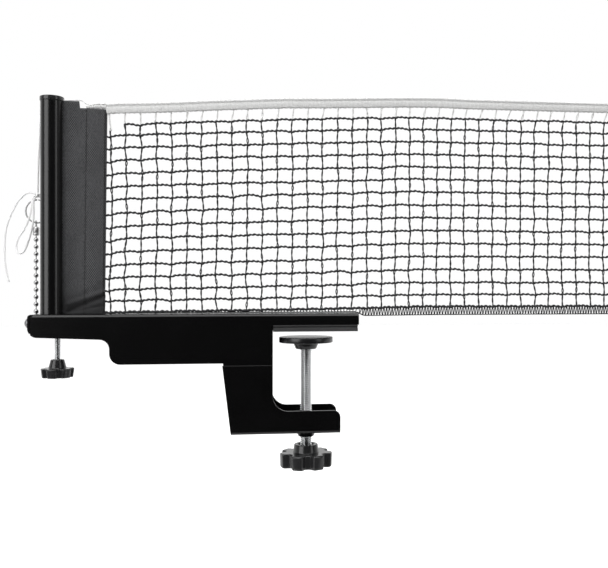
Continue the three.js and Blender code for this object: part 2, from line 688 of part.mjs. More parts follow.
const grooveZ = postTop + 1.8;
const cordTurn = capRadius - 1 + cordRadius + 0.1;

// from the tape over the sleeve, round the back of the cap and down to the knot
const tensionRoute = [
  [tapeStart - fit, 0.2, tapeTopLeft - 1.0], [19.4, 0.5, grooveZ - 0.5], [16, 1.0, grooveZ], [9.4, 3.7, grooveZ],
  ...[62, 76, 90, 104, 118].map((angle) => {
    const turn = THREE.MathUtils.degToRad(angle);
    return [cordTurn * Math.cos(turn), cordTurn * Math.sin(turn), grooveZ];
  }),
  [-5.6, 6.4, grooveZ - 0.3], [-7.5, 6.6, grooveZ - 1.4], [-8.4, 6.5, grooveZ - 3.4], [-8.7, 6.6, 140],
  [-10.3, 7.5, 112], [-11.1, 8.4, ringZ + ringRadius + ringWire + 2 * knotRadius + 0.9],
];

const knotZ = ringZ + ringRadius + ringWire + fit + knotRadius + 0.2;

// bow loop: leaves the knot, hangs and comes back
const bowRoute = [
  [-12.9, 7.6, 87.4], [-13.3, 6.6, 84.5], [-13.0, 5.9, 78.0], [-13.3, 5.4, 71.0], [-14.6, 5.3, 64.5],
  [-16.6, 5.6, 58.0], [-19.2, 6.3, 53.0], [-21.6, 6.8, 51.4], [-23.6, 7.1, 53.6], [-23.9, 7.4, 57.6],
  [-22.4, 7.6, 62.4], [-19.4, 7.6, 66.8], [-16.8, 7.2, 72.5], [-15.0, 6.9, 79.0], [-14.4, 7.2, 84.5],
  [-13.6, 8.0, 88.2],
];

// free tail: leaves the knot sideways and hangs in a long curve to its cut end
const tailRoute = [
  [-13.3, 8.6, 90.6], [-15.6, 8.7, 91.2], [-18.5, 8.8, 90.5], [-21.6, 8.9, 87.8], [-24.5, 9.0, 84.0],
  [-28.6, 9.2, 75.4], [-31.4, 9.4, 66.2], [-32.1, 9.5, 55.5], [-32.1, 9.5, 47.0], [-30.9, 9.4, 38.5],
  [-29.3, 9.2, 32.5],
];

function knot() {
  return turned([
    [0, -knotRadius - 0.1], [1.1, -knotRadius + 0.1], [knotRadius * 0.95, -0.8], [knotRadius * 0.72, -0.1],
    [knotRadius, 0.8], [1.0, knotRadius - 0.1], [0, knotRadius + 0.1],
  ], 12);
}

function wireRing() {
  return solid(new THREE.TorusGeometry(ringRadius, ringWire, 8, 36).rotateX(Math.PI / 2));
}

// barrel that grips the chain's end ball, with an eye that hangs in the ring
function chainCoupling() {
  const eye = solid(new THREE.TorusGeometry(eyeRadius, eyeWire, 6, 16).rotateY(Math.PI / 2));
  const top = -couplingDrop;
  const low = top - couplingLength;
  const barrel = turned([
    [0, low + couplingMouthDepth], [couplingMouth, low + couplingMouthDepth], [couplingMouth, low],
    [couplingRadius - 0.5, low], [couplingRadius, low + 0.7],
    [couplingRadius, top - 0.9], [couplingRadius - 0.8, top], [0.7, top + 0.2], [0.6, -eyeRadius], [0, -eyeRadius],
  ], 20);
  return eye.add(barrel);
}

// balls joined by short necks, as one turned piece that hangs down from z = 0 in the coupling's mouth
function ballChain() {
  const beads = beadsAbove + beadsBelow;
  const neckAngle = Math.asin(beadNeck / beadRadius);
  const steps = 5;
  const profile = [[0, 0], [beadNeck, 0]];
  for (let i = 0; i < beads; i += 1) {
    const centre = -beadTopDrop - i * beadPitch;
    const to = i === beads - 1 ? Math.PI : Math.PI - neckAngle;
    for (let k = 0; k <= steps; k += 1) {
      const angle = neckAngle + ((to - neckAngle) * k) / steps;
      profile.push([Math.max(0, beadRadius * Math.sin(angle)), centre + beadRadius * Math.cos(angle)]);
    }
  }
  profile.at(-1)[0] = 0;
  return turned(profile.reverse(), 8);
}

// the taut chain runs straight from its neck in the slot to the ring
const ringHang = Math.sqrt(ringRadius ** 2 - couplingLean ** 2);
const ringLow = new THREE.Vector3(ringX - couplingLean, ringY, ringZ - ringHang);
const chainWay = new THREE.Vector3().subVectors(ringLow, beadHook).normalize();
const chainStart = ringLow.clone().addScaledVector(chainWay, couplingMouthDepth - 0.8 - couplingDrop - couplingLength);
const chainLength = chainStart.distanceTo(beadHook);
const beadsAbove = Math.floor((chainLength - couplingMouthDepth - beadRadius) / beadPitch + 0.5);
const beadTopDrop = chainLength - (beadsAbove - 0.5) * beadPitch;

// ---- assembly -------------------------------------------------------------------------------------

const netClamp = new THREE.Group();

const bracket = new THREE.Group();
bracket.add(
  part('upper_bracket', upperBracket(), blackPaint),
  part('clamp_channel', clampChannel(), blackPaint),
  part('jaw_plate', jawPlate(), blackPaint),
  part('jaw_pad', jawPad(), blackRubber),
  part('thread_bush', threadBush(), blackPaint),
  part('guide_block', guideBlock(), naturalNylon, [postX, 0, 0]),
  part('end_screw', endScrew(), brightZinc, [flapOut - touch, endScrewY, endScrewZ]),
  part('height_nut', heightNut(), brightZinc, [postX + heightScrewX, 0, 0]),
);

const clamp = new THREE.Group();
clamp.add(
  part('pressure_plate', pressurePlate(), blackPlastic),
  part('retaining_clip', retainingClip(), brightZinc),
  part('clamp_screw', clampScrew(), brightZinc),
  part('clamp_knob', starKnob(clampKnob), blackPlastic, [0, 0, clampKnobTop]),
);

const post = new THREE.Group();
post.position.x = postX;
post.add(
  part('post_tube', postTube(), blackPaint),
  part('post_cap', postCap(), blackPlastic),
  part('foot_plug', footPlug(), blackPlastic),
  part('height_screw', heightScrew(), brightZinc, [heightScrewX, 0, 0]),
  part('height_knob', starKnob(heightKnob), blackPlastic, [heightScrewX, 0, heightKnobTop]),
  part('net_rod', netRod(), naturalNylon),
  part('net_sleeve', netSleeve(), blackCloth),
  part('net_mesh', netMesh(), blackThread),
  part('net_selvedge', netSelvedge(), blackThread),
  part('net_tape', netTape(), whiteCloth),
);

const rigging = new THREE.Group();
rigging.position.x = postX;
rigging.add(
  part('tension_cord', cordAlong(tensionRoute, cordRadius, 44), whiteCord),
  part('cord_knot', knot(), whiteCord, [ringX - 0.1, ringY, knotZ]),
  part('cord_bow', cordAlong(bowRoute, cordRadius, 36), whiteCord),
  part('cord_tail', cordAlong(tailRoute, cordRadius, 30), whiteCord),
  part('cord_ring', wireRing(), brightZinc, [ringX, ringY, ringZ]),
  part('chain_coupling', chainCoupling(), brightZinc, ringLow.toArray()),
  part('ball_chain', ballChain(), brightZinc, chainStart.toArray()),
);
rigging.children.slice(-2).forEach((mesh) => {
  mesh.quaternion.setFromUnitVectors(new THREE.Vector3(0, 0, 1), chainWay);
});

netClamp.add(bracket, clamp, post, rigging);

export default netClamp;
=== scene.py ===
# %% [markdown]
# # A table tennis net clamp
# The clamp grips the edge of a table and carries one end of the net. Its frame is a folded steel bracket
# with a post on the left, a jaw on the right and a channel welded under it for the clamp screw.
# The solids come from the model's own pack, in metres, and every piece below is made in that same frame.

import math

import bmesh
import bpy
import numpy as np
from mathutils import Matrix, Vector


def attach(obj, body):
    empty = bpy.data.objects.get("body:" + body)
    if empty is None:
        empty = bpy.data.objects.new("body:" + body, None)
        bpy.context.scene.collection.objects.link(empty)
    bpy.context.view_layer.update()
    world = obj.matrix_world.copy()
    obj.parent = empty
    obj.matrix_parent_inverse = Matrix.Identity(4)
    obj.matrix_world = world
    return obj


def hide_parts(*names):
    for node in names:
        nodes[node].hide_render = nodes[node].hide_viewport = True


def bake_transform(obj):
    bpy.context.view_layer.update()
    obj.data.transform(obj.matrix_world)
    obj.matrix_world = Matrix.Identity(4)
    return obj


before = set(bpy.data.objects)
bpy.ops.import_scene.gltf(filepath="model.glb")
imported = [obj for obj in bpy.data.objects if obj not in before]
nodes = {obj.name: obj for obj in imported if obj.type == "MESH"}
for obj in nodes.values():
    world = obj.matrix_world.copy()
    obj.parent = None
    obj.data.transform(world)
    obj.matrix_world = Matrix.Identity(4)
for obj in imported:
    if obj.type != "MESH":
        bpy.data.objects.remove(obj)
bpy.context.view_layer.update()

# %% [markdown]
# Sizes are easier to read from the post's axis and in millimetres, as they would be on the bench, so one
# small function turns them into the frame's metres. The random numbers are seeded, so each run is alike.

# %% Units and places
MM = 0.001
SCREW_X = 164.5          # clamp screw's axis, from the post's axis
POST_X = -SCREW_X        # the frame's origin is on the clamp screw's axis
TURN = math.tau
rng = np.random.default_rng(7)


def xyz(x, y, z):
    """Coordinates as points; a single number serves for all of them."""
    return np.stack(np.broadcast_arrays(x, y, z), axis=-1)


def spots(points):
    """Points given in millimetres from the post's axis, as metres in the frame."""
    points = np.array(points, float).reshape(-1, 3)
    return (points + [POST_X, 0, 0]) * MM


print("clamp screw from the post, mm:", SCREW_X)

# %% [markdown]
# ## The camera
# The photograph was taken from between the post and the clamp screw, level with the net's lower part, and
# cropped off centre, which a small lens shift repeats. It comes first because the cords are measured
# against it: their unseen length has to stay near the view.

# %% The camera
scene = bpy.context.scene
PHOTO_WIDTH, FOCAL_LENGTH, OFF_CENTRE = 608, 800, -51          # pixels
SENSOR = 36              # millimetres
camera_data = bpy.data.cameras.new("photo_camera")
camera_data.sensor_width = SENSOR
camera_data.lens = SENSOR * FOCAL_LENGTH / PHOTO_WIDTH
camera_data.shift_x = OFF_CENTRE / PHOTO_WIDTH
camera_data.clip_start = 0.01
camera = bpy.data.objects.new("photo_camera", camera_data)
camera.location = (-0.0313, -0.5378, 0.0312)
camera.rotation_euler = (math.pi / 2, 0, -math.radians(6.84))
scene.collection.objects.link(camera)
scene.camera = camera
print("lens, mm:", round(camera_data.lens, 1))

# %% [markdown]
# ## Making meshes
# Three ways of making a form cover most of this object: sweeping a ring along a path for cords, threads and
# wire, turning a profile for screws and plates, and joining a grid of points for cloth. Each gives points
# and faces, and one function makes the piece and turns all its faces outward.


# %% Pieces and their faces
def shown(name, form, mesh):
    """The worked form as a mesh, in a new object of that name."""
    form.to_mesh(mesh)
    form.free()
    mesh.polygons.foreach_set("use_smooth", [True] * len(mesh.polygons))
    obj = bpy.data.objects.new(name, mesh)
    scene.collection.objects.link(obj)
    return obj


def piece(name, points, faces):
    """A new object from points in metres and faces, with its faces turned outward."""
    mesh = bpy.data.meshes.new(name)
    mesh.from_pydata([tuple(p) for p in points], [], faces)
    form = bmesh.new()
    form.from_mesh(mesh)
    bmesh.ops.recalc_face_normals(form, faces=form.faces)
    return shown(name, form, mesh)


def grid_faces(rows, columns, wrap=False):
    """Quads over a grid of points; wrap joins the last column to the first."""
    faces = []
    for low in range(0, (rows - 1) * columns, columns):
        high = low + columns
        for here in range(columns if wrap else columns - 1):
            beside = (here + 1) % columns
            faces.append([low + here, low + beside, high + beside, high + here])
    return faces


def tube_faces(rings, sides):
    """Quads round a tube's wall and one face over each of its ends."""
    last = (rings - 1) * sides
    return grid_faces(rings, sides, wrap=True) + [list(range(sides)), list(range(last, last + sides))]


# %% Sweep a ring along a path
def unit(vectors):
    return vectors / np.maximum(np.linalg.norm(vectors, axis=-1, keepdims=True), 1e-12)


def sweep(path, radius, sides, across=(0, 1, 0), lobes=0, lobe_depth=0.0, twist=0.0):
    """A closed tube along path, in the path's unit. lobes and twist make it a laid cord."""
    path = np.asarray(path, float)
    along = unit(np.gradient(path, axis=0))
    side = np.cross(along, across)
    weak = np.linalg.norm(side, axis=1) < 0.2
    side[weak] = np.cross(along[weak], (1.0, 0.3, 0))
    side = unit(side)
    for i in range(1, len(side)):
        if side[i] @ side[i - 1] < 0.95:
            side[i] = unit(side[i - 1] - along[i] * (side[i - 1] @ along[i]))
    up = np.cross(side, along)
    length = np.concatenate([[0], np.cumsum(np.linalg.norm(np.diff(path, axis=0), axis=1))])
    angle = np.arange(sides) * TURN / sides
    ripple = 1 + lobe_depth * np.cos(lobes * (angle[None] - twist * length[:, None])) if lobes else 1.0
    reach = np.broadcast_to(radius, len(path))[:, None] * ripple * np.ones((1, sides))
    sideways = np.cos(angle)[None, :, None] * side[:, None]
    upward = np.sin(angle)[None, :, None] * up[:, None]
    points = path[:, None] + reach[..., None] * (sideways + upward)
    return points.reshape(-1, 3), tube_faces(len(path), sides)


# %% Smooth paths
def flowing(points, step):
    """A smooth path through points, with a point about every step."""
    points = np.asarray(points, float)
    ends = np.concatenate([[2 * points[0] - points[1]], points, [2 * points[-1] - points[-2]]])
    path = []
    for a, b, c, d in zip(ends, ends[1:], ends[2:], ends[3:]):
        count = max(2, int(np.linalg.norm(c - b) / step) + 1)
        t = np.linspace(0, 1, count, endpoint=False)[:, None]
        bend, turn = 2 * a - 5 * b + 4 * c - d, 3 * b - a - 3 * c + d
        path.append(0.5 * (2 * b + (c - a) * t + bend * t**2 + turn * t**3))
    return np.concatenate(path + [points[-1:]])


# %% [markdown]
# ## Making materials
# Each finish is one Principled shader. What changes over a surface, such as grain, weave or wear, comes from
# small node groups with named inputs, so the same effect can serve several finishes with other values.


# %% Shader nodes
def add(tree, kind, inputs=None, **settings):
    """A shader node with its settings and inputs; an input that is a socket is linked."""
    node = tree.nodes.new("ShaderNode" + kind)
    for key, value in settings.items():
        setattr(node, key, value)
    for key, value in (inputs or {}).items():
        if isinstance(value, bpy.types.NodeSocket):
            tree.links.new(value, node.inputs[key])
        else:
            node.inputs[key].default_value = value
    return node


def sum_of(tree, operation, *values):
    """One step of arithmetic on numbers or sockets."""
    return add(tree, "Math", dict(enumerate(values)), operation=operation).outputs[0]


def between(tree, value, low, high, start=0.0, end=1.0):
    """A number that goes from low to high while value goes from start to end."""
    spans = {"Value": value, "From Min": start, "From Max": end, "To Min": low, "To Max": high}
    return add(tree, "MapRange", spans).outputs["Result"]


def shaded(tree, factor, dark, light):
    """A colour between dark and light."""
    colors = {"Factor": factor, "A": (*dark, 1), "B": (*light, 1)}
    return add(tree, "Mix", colors, data_type="RGBA").outputs["Result"]


def bumped(tree, height, depth):
    """A normal from a height between 0 and 1; depth is in metres."""
    return add(tree, "Bump", {"Height": height, "Distance": depth, "Strength": 1.0}).outputs["Normal"]


# %% Node groups and blank finishes
def effect(name, inputs, outputs):
    """An empty node group with named float inputs and outputs."""
    tree = bpy.data.node_groups.new(name, "ShaderNodeTree")
    for key, value in inputs.items():
        tree.interface.new_socket(key, in_out="INPUT", socket_type="NodeSocketFloat").default_value = value
    for key in outputs:
        tree.interface.new_socket(key, in_out="OUTPUT", socket_type="NodeSocketFloat")
    given = tree.nodes.new("NodeGroupInput")
    result = tree.nodes.new("NodeGroupOutput")
    return tree, given.outputs, result.inputs


def place(tree, group, inputs):
    """That group in a finish's tree, with its own values; gives its outputs."""
    node = tree.nodes.new("ShaderNodeGroup")
    node.node_tree = group
    for key, value in inputs.items():
        node.inputs[key].default_value = value
    return node.outputs


def blank_finish(name, color, roughness, metallic=0.0, **sockets):
    """A new material: its tree and its shader's inputs."""
    material = bpy.data.materials.new(name)
    material.use_nodes = True
    shader = material.node_tree.nodes["Principled BSDF"]
    shader.inputs["Base Color"].default_value = (*color, 1)
    shader.inputs["Roughness"].default_value = roughness
    shader.inputs["Metallic"].default_value = metallic
    for key, value in sockets.items():
        shader.inputs[key.replace("_", " ")].default_value = value
    return material, material.node_tree, shader.inputs


# %% [markdown]
# The first group is what every finish shares: a fine grain, from coating, mould or fibre, and broad patches
# that are a little duller from handling. The second is a plain weave seen close up, whose threads show more
# in some places. The third rubs the colour away at outer edges, where pieces touch hands and tables, and
# the fourth finds inner corners and the roots of threads and paints shade into them.

# %% Grain and weave
grain, given, result = effect(
    "grain and patches", {"Grain size": 0.0004, "Patch size": 0.02}, ["Grain", "Patches"])
surface = add(grain, "TexCoord").outputs["Object"]
for size, layers, name in (("Grain size", 2, "Grain"), ("Patch size", 4, "Patches")):
    scale = sum_of(grain, "DIVIDE", 1.0, given[size])
    noise = add(grain, "TexNoise", {"Vector": surface, "Scale": scale, "Detail": layers, "Roughness": 0.55})
    grain.links.new(noise.outputs["Fac"], result[name])


def grained(tree, grain_size, patch_size):
    """The grain group in a finish; gives its grain and its patches."""
    outputs = place(tree, grain, {"Grain size": grain_size, "Patch size": patch_size})
    return outputs["Grain"], outputs["Patches"]


weave, given, result = effect("plain weave", {"Warp": 0.0007, "Weft": 0.0007}, ["Height", "Shade"])
surface = add(weave, "TexCoord").outputs["Object"]
apart = add(weave, "SeparateXYZ", {"Vector": surface}).outputs
waves = []
for axis, threads in (("X", "Warp"), ("Z", "Weft")):
    turns = sum_of(weave, "DIVIDE", TURN, given[threads])
    waves.append(sum_of(weave, "SINE", sum_of(weave, "MULTIPLY", apart[axis], turns)))
crossing = sum_of(weave, "MULTIPLY", *waves)
weave.links.new(between(weave, crossing, 0.5, 1.0), result["Height"])
fibres = add(weave, "TexNoise", {"Vector": surface, "Scale": 900.0, "Detail": 3.0}).outputs["Fac"]
loose = add(weave, "TexNoise", {"Vector": surface, "Scale": 90.0}).outputs["Fac"]
contrast = between(weave, loose, 0.1, 0.85, 0.4, 0.65)
weave.links.new(sum_of(weave, "MULTIPLY_ADD", crossing, contrast, fibres), result["Shade"])

# %% Wear and painted shade in hollows
rub, given, result = effect("rubbed edges", {"Reach": 0.5}, ["Mask"])
edge = add(rub, "NewGeometry").outputs["Pointiness"]
fully_rubbed = sum_of(rub, "MULTIPLY_ADD", 0.5, given["Reach"], 0.54)
raised = between(rub, edge, 0.0, 1.0, 0.53, fully_rubbed)
blotch = add(rub, "TexNoise", {"Scale": 240.0, "Detail": 4.0}).outputs["Fac"]
rub.links.new(sum_of(rub, "MULTIPLY", raised, blotch), result["Mask"])

# Painted shade: a mask of hollows, such as the roots of threads, where shade falls.
roots, given, result = effect("painted shade in roots", {"Deepest": 0.4}, ["Mask"])
edge = add(roots, "NewGeometry").outputs["Pointiness"]
roots.links.new(between(roots, edge, 0.0, 1.0, 0.49, given["Deepest"]), result["Mask"])
print("effects:", [group.name for group in bpy.data.node_groups])

# %% [markdown]
# ## Finishes
# The steel is powder coated in a satin black: almost no colour of its own, with a soft gloss that draws a
# pale line along each fold. Knobs, cap and plate are moulded plastic, a little lighter. The screws are zinc
# plated, the ring, the coupling and the ball chain nickel. The pad is rubber, the net black twine with a
# white tape.


# %% Coated and moulded finishes
def moulded(name, color, light, rough_low, rough_high, grain_size, grain_depth, **sockets):
    """A moulded or coated surface: patches in colour and gloss, a fine grain and slightly pale edges."""
    material, tree, inputs = blank_finish(name, color, rough_low, **sockets)
    fine, patches = grained(tree, grain_size, 0.018)
    tint = sum_of(tree, "MAXIMUM", patches, place(tree, rub, {"Reach": 0.12})["Mask"])
    tree.links.new(shaded(tree, tint, color, light), inputs["Base Color"])
    tree.links.new(between(tree, patches, rough_low, rough_high), inputs["Roughness"])
    tree.links.new(bumped(tree, fine, grain_depth), inputs["Normal"])
    return material


satin_black = moulded("satin black powder coat", (0.0012, 0.0012, 0.0013), (0.003, 0.003, 0.0032),
                      0.2, 0.25, 0.0009, 0.00001, IOR=1.45)
gloss_black = moulded("gloss black tube enamel", (0.0018, 0.0018, 0.002), (0.004, 0.004, 0.0043),
                      0.2, 0.25, 0.0012, 0.00001)
knob_plastic = moulded("moulded knob plastic", (0.013, 0.013, 0.0135), (0.028, 0.028, 0.029),
                       0.16, 0.24, 0.0006, 0.00001)
plate_plastic = moulded("moulded plate plastic", (0.006, 0.006, 0.0065), (0.014, 0.014, 0.015),
                        0.22, 0.3, 0.0006, 0.00001)
black_nylon = moulded("black nylon", (0.01, 0.01, 0.011), (0.02, 0.02, 0.02), 0.45, 0.55, 0.0005, 0.00002)
pad_rubber = moulded("pad rubber", (0.03, 0.03, 0.031), (0.05, 0.05, 0.051), 0.6, 0.75, 0.0005, 0.00004)
print("finishes:", len(bpy.data.materials))

# %% Plated finishes
# The colour of the painted shade in the roots of threads.
ROOT_SHADE = (0.03, 0.03, 0.03, 1)


def plated(name, color, rough):
    """Plated metal: faint drawing marks and clouding, and painted shade in the roots of threads."""
    material, tree, inputs = blank_finish(name, color, rough, metallic=1.0)
    marks, clouds = grained(tree, 0.0003, 0.004)
    clean = shaded(tree, clouds, tuple(0.78 * c for c in color), color)
    colors = {"Factor": place(tree, roots, {"Deepest": 0.4})["Mask"], "A": clean, "B": ROOT_SHADE}
    tree.links.new(add(tree, "Mix", colors, data_type="RGBA").outputs["Result"], inputs["Base Color"])
    tree.links.new(between(tree, clouds, rough * 0.8, rough * 1.5), inputs["Roughness"])
    tree.links.new(bumped(tree, marks, 0.000008), inputs["Normal"])
    return material


bright_zinc = plated("bright zinc", (0.86, 0.87, 0.88), 0.17)
dull_zinc = plated("dull zinc", (0.3, 0.3, 0.31), 0.35)
nickel = plated("nickel plate", (0.5, 0.5, 0.5), 0.14)
crimped = plated("crimped nickel", (0.75, 0.75, 0.75), 0.36)
print("finishes:", len(bpy.data.materials))


# %% Cloth
def cloth_finish(name, dark, light, warp, weft, depth, sheen, patch=0.02, painted_shade_heights=None):
    """Woven cloth: the weave shades and lifts it, and broad patches keep it from looking flat.

    The last argument gives two heights in metres for painted shade at the foot: the cloth is darkest at the
    first and unshaded from the second up."""
    material, tree, inputs = blank_finish(name, light, 0.9, Sheen_Weight=sheen, Sheen_Roughness=0.5)
    woven = place(tree, weave, {"Warp": warp, "Weft": weft})
    patches = grained(tree, warp, patch)[1]
    tone = sum_of(tree, "ADD", woven["Shade"], between(tree, patches, -0.25, 0.25))
    # Painted shade: the colour darkens towards the cloth's foot, below the second height.
    if painted_shade_heights:
        height = add(tree, "SeparateXYZ", {"Vector": add(tree, "TexCoord").outputs["Object"]}).outputs["Z"]
        tone = sum_of(tree, "MULTIPLY", tone, between(tree, height, 0.1, 1.0, *painted_shade_heights))
    tree.links.new(shaded(tree, tone, dark, light), inputs["Base Color"])
    tree.links.new(bumped(tree, woven["Height"], depth), inputs["Normal"])
    return material


# The sleeve's cloth gets painted shade at its foot: darkest at 18 mm, none from 31 mm up.
sleeve_cloth = cloth_finish("black sleeve cloth", (0.012, 0.012, 0.013), (0.1, 0.101, 0.106),
                            0.00135, 0.0019, 0.00012, 0.1, painted_shade_heights=(0.018, 0.031))
tape_cloth = cloth_finish("white net tape", (0.68, 0.68, 0.675), (0.84, 0.84, 0.83),
                          0.0008, 0.0008, 0.00006, 0.0, patch=0.006)
print("finishes:", len(bpy.data.materials))


# %% Twine and cord
def twine_finish(name, dark, light, depth=0.0001, sheen=0.0, lets_light_through=0.0):
    """Spun thread: fibres a few tenths of a millimetre apart, darker between them."""
    material, tree, inputs = blank_finish(name, light, 0.85, Sheen_Weight=sheen, Sheen_Roughness=0.5)
    inputs["Subsurface Weight"].default_value = lets_light_through
    inputs["Subsurface Radius"].default_value = (1, 1, 1)
    inputs["Subsurface Scale"].default_value = 0.0012
    fibre, patches = grained(tree, 0.00035, 0.012)
    tone = between(tree, sum_of(tree, "ADD", fibre, patches), -0.9, 1.6)
    tree.links.new(shaded(tree, tone, dark, light), inputs["Base Color"])
    tree.links.new(bumped(tree, fibre, depth), inputs["Normal"])
    return material


black_twine = twine_finish("black net twine", (0.008, 0.008, 0.009), (0.024, 0.024, 0.026))
white_twine = twine_finish("white net twine", (0.62, 0.62, 0.62), (0.82, 0.82, 0.81))
pale_cord = twine_finish("off-white cord", (0.9, 0.9, 0.895), (0.97, 0.97, 0.965),
                         depth=0.00003, sheen=0.5, lets_light_through=0.8)
# Real stitching, darker than the cloth, so that it also paints the shade of the seam's groove.
stitching_with_seam_shade = twine_finish("black stitching with painted seam shade", (0.006, 0.006, 0.006), (0.02, 0.02, 0.02))
print("finishes:", len(bpy.data.materials))

# %% [markdown]
# Every piece below goes the same way: a form is made on the bench, gets its finish, takes its solid's place
# and is put on the body that it moves with.


# %% Dress and fit a piece
def dress(obj, finish):
    """Gives every face of the object that finish."""
    obj.data.materials.clear()
    obj.data.materials.append(finish)
    return obj


def fitted(obj, slot, body, node=None):
    """Puts the piece on its body and hides the solid that it replaces, if any; slot is not used."""
    if node:
        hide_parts(node)
    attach(obj, body)
    print(obj.name, "faces:", len(obj.data.polygons))
    return obj


def made(name, form, finish, *fit):
    """A piece in its finish, from a form on the bench; fit is its slot, its body and its solid."""
    points, faces = form
    obj = dress(piece(name, spots(points), faces), finish)
    return fitted(obj, *fit) if fit else obj


# %% [markdown]
# ## Cords
# The net hangs from a cord that runs inside its tape. It leaves the tape over the sleeve, turns round the
# back of the post's cap in a groove, and goes down to a knot on the ring. The knot is a slipped one, here a
# plain trefoil, so there is also a bow, and the cut end hangs free beside it. The routes are the solids' own,
# with the bends eased a little, as a cord's stiffness does.

# %% Cord routes
GROOVE_Z, CORD_TURN = 151.2, 7.1         # the cap's groove and the cord's path round it
RING = (-11.1, 8.5, 78.9)
RING_RADIUS, RING_WIRE = 7.5, 0.55
KNOT = (RING[0] - 0.1, RING[1], RING[2] + RING_RADIUS + RING_WIRE + 0.5 + 1.9)
round_cap = [
    (CORD_TURN * math.cos(math.radians(a)), CORD_TURN * math.sin(math.radians(a)), GROOVE_Z)
    for a in (62, 76, 90, 104, 118)
]
tension_route = [
    (25, 0.1, 148.2), (21.7, 0.2, 148.6), (19.4, 0.5, GROOVE_Z - 0.5),
    (16, 1.0, GROOVE_Z), (9.4, 3.7, GROOVE_Z), *round_cap, (-5.6, 6.4, GROOVE_Z - 0.3),
    (-7.5, 6.6, GROOVE_Z - 1.4), (-8.4, 6.5, GROOVE_Z - 3.4), (-8.7, 6.6, 140), (-10.3, 7.5, 112),
    (KNOT[0] + 0.1, KNOT[1] - 0.1, KNOT[2] + 1.2),
]
bow_route = [
    (-11.9, 8.2, 88.8), (-12.9, 7.6, 87.4), (-13.3, 6.6, 84.5), (-13.0, 5.9, 78.0), (-13.3, 5.4, 71.0),
    (-14.6, 5.3, 64.5), (-16.6, 5.6, 58.0), (-18.8, 6.2, 52.9), (-20.0, 6.5, 51.6), (-21.5, 6.8, 51.1),
    (-23.0, 7.0, 51.6), (-24.0, 7.2, 53.1), (-24.2, 7.4, 57.4), (-22.4, 7.6, 62.4), (-19.4, 7.6, 66.8),
    (-16.8, 7.2, 72.5), (-15.0, 6.9, 79.0), (-14.4, 7.2, 84.5), (-13.6, 8.0, 88.2), (-12.2, 8.4, 89.2),
]
tail_route = [
    (-12.0, 8.6, 90.0), (-13.3, 8.6, 90.6), (-15.6, 8.7, 91.2), (-18.5, 8.8, 90.5), (-21.6, 8.9, 87.8),
    (-24.5, 9.0, 84.0), (-28.6, 9.2, 75.4), (-31.4, 9.4, 66.2), (-32.1, 9.5, 55.5), (-32.1, 9.5, 47.0),
    (-30.9, 9.4, 38.5), (-29.3, 9.2, 32.5),
]
print("points in the routes:", len(tension_route), len(bow_route), len(tail_route))

# %% The knot
CORD_RADIUS = 0.68
THREE_STRANDS = {"lobes": 3, "lobe_depth": 0.07, "twist": 1.9}
t = np.linspace(0, TURN, 120)
trefoil = xyz(0.42 * (np.sin(t) + 2 * np.sin(2 * t)), 0.42 * (np.cos(t) - 2 * np.cos(2 * t)),
              -0.9 * np.sin(3 * t))
knot = sweep(trefoil + KNOT, 0.62, sides=10, across=(0.3, 0.2, 1), **THREE_STRANDS)
made("slip_knot", knot, pale_cord, "white_cord", "bracket", "cord_knot")


# %% The cords
def laid_cord(name, route, node):
    """A three-strand cord along a route, in place of its solid."""
    path = flowing(route, 0.45)
    for _ in range(8):
        path[1:-1] = (path[:-2] + 2 * path[1:-1] + path[2:]) / 4
    cord = made(name, sweep(path, CORD_RADIUS, sides=12, across=(0.2, 1, 0.1), **THREE_STRANDS), pale_cord)
    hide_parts(node)
    return cord


tension_cord = laid_cord("net_cord", tension_route, "tension_cord")
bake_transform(tension_cord)
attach(laid_cord("bow_loop", bow_route, "cord_bow"), "bracket")
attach(laid_cord("cord_end", tail_route, "cord_tail"), "bracket")

# %% [markdown]
# ## Studio
# The photograph has a white background, with soft lights at both sides and above. A white world gives the
# background and the reflections behind the object. In front of it the world is darker, as a studio is, so
# that black paint stays black and only the lamps draw lights on it.

# %% The white world
world = bpy.data.worlds.new("white studio")
world.use_nodes = True
scene.world = world
tree = world.node_tree
tree.nodes.clear()
ray = add(tree, "LightPath").outputs
heading = add(tree, "SeparateXYZ", {"Vector": add(tree, "TexCoord").outputs["Generated"]}).outputs["Y"]
behind = between(tree, heading, 0.03, 1.0, -0.3, 0.4)
seen = sum_of(tree, "MAXIMUM", ray["Is Camera Ray"], ray["Is Transmission Ray"])
strength = add(tree, "Mix", {"Factor": seen, "A": behind, "B": 1.0}, data_type="FLOAT").outputs["Result"]
sky = add(tree, "Background", {"Color": (1, 1, 1, 1), "Strength": strength})
tree.links.new(sky.outputs[0], add(tree, "OutputWorld").inputs["Surface"])
print("world:", world.name)

# %% [markdown]
# The floor keeps the object's shadow. A glow that only the camera and mirrors see lifts it to white, and
# mirrors see it only far behind the object, so the underside of the steel stays dark.

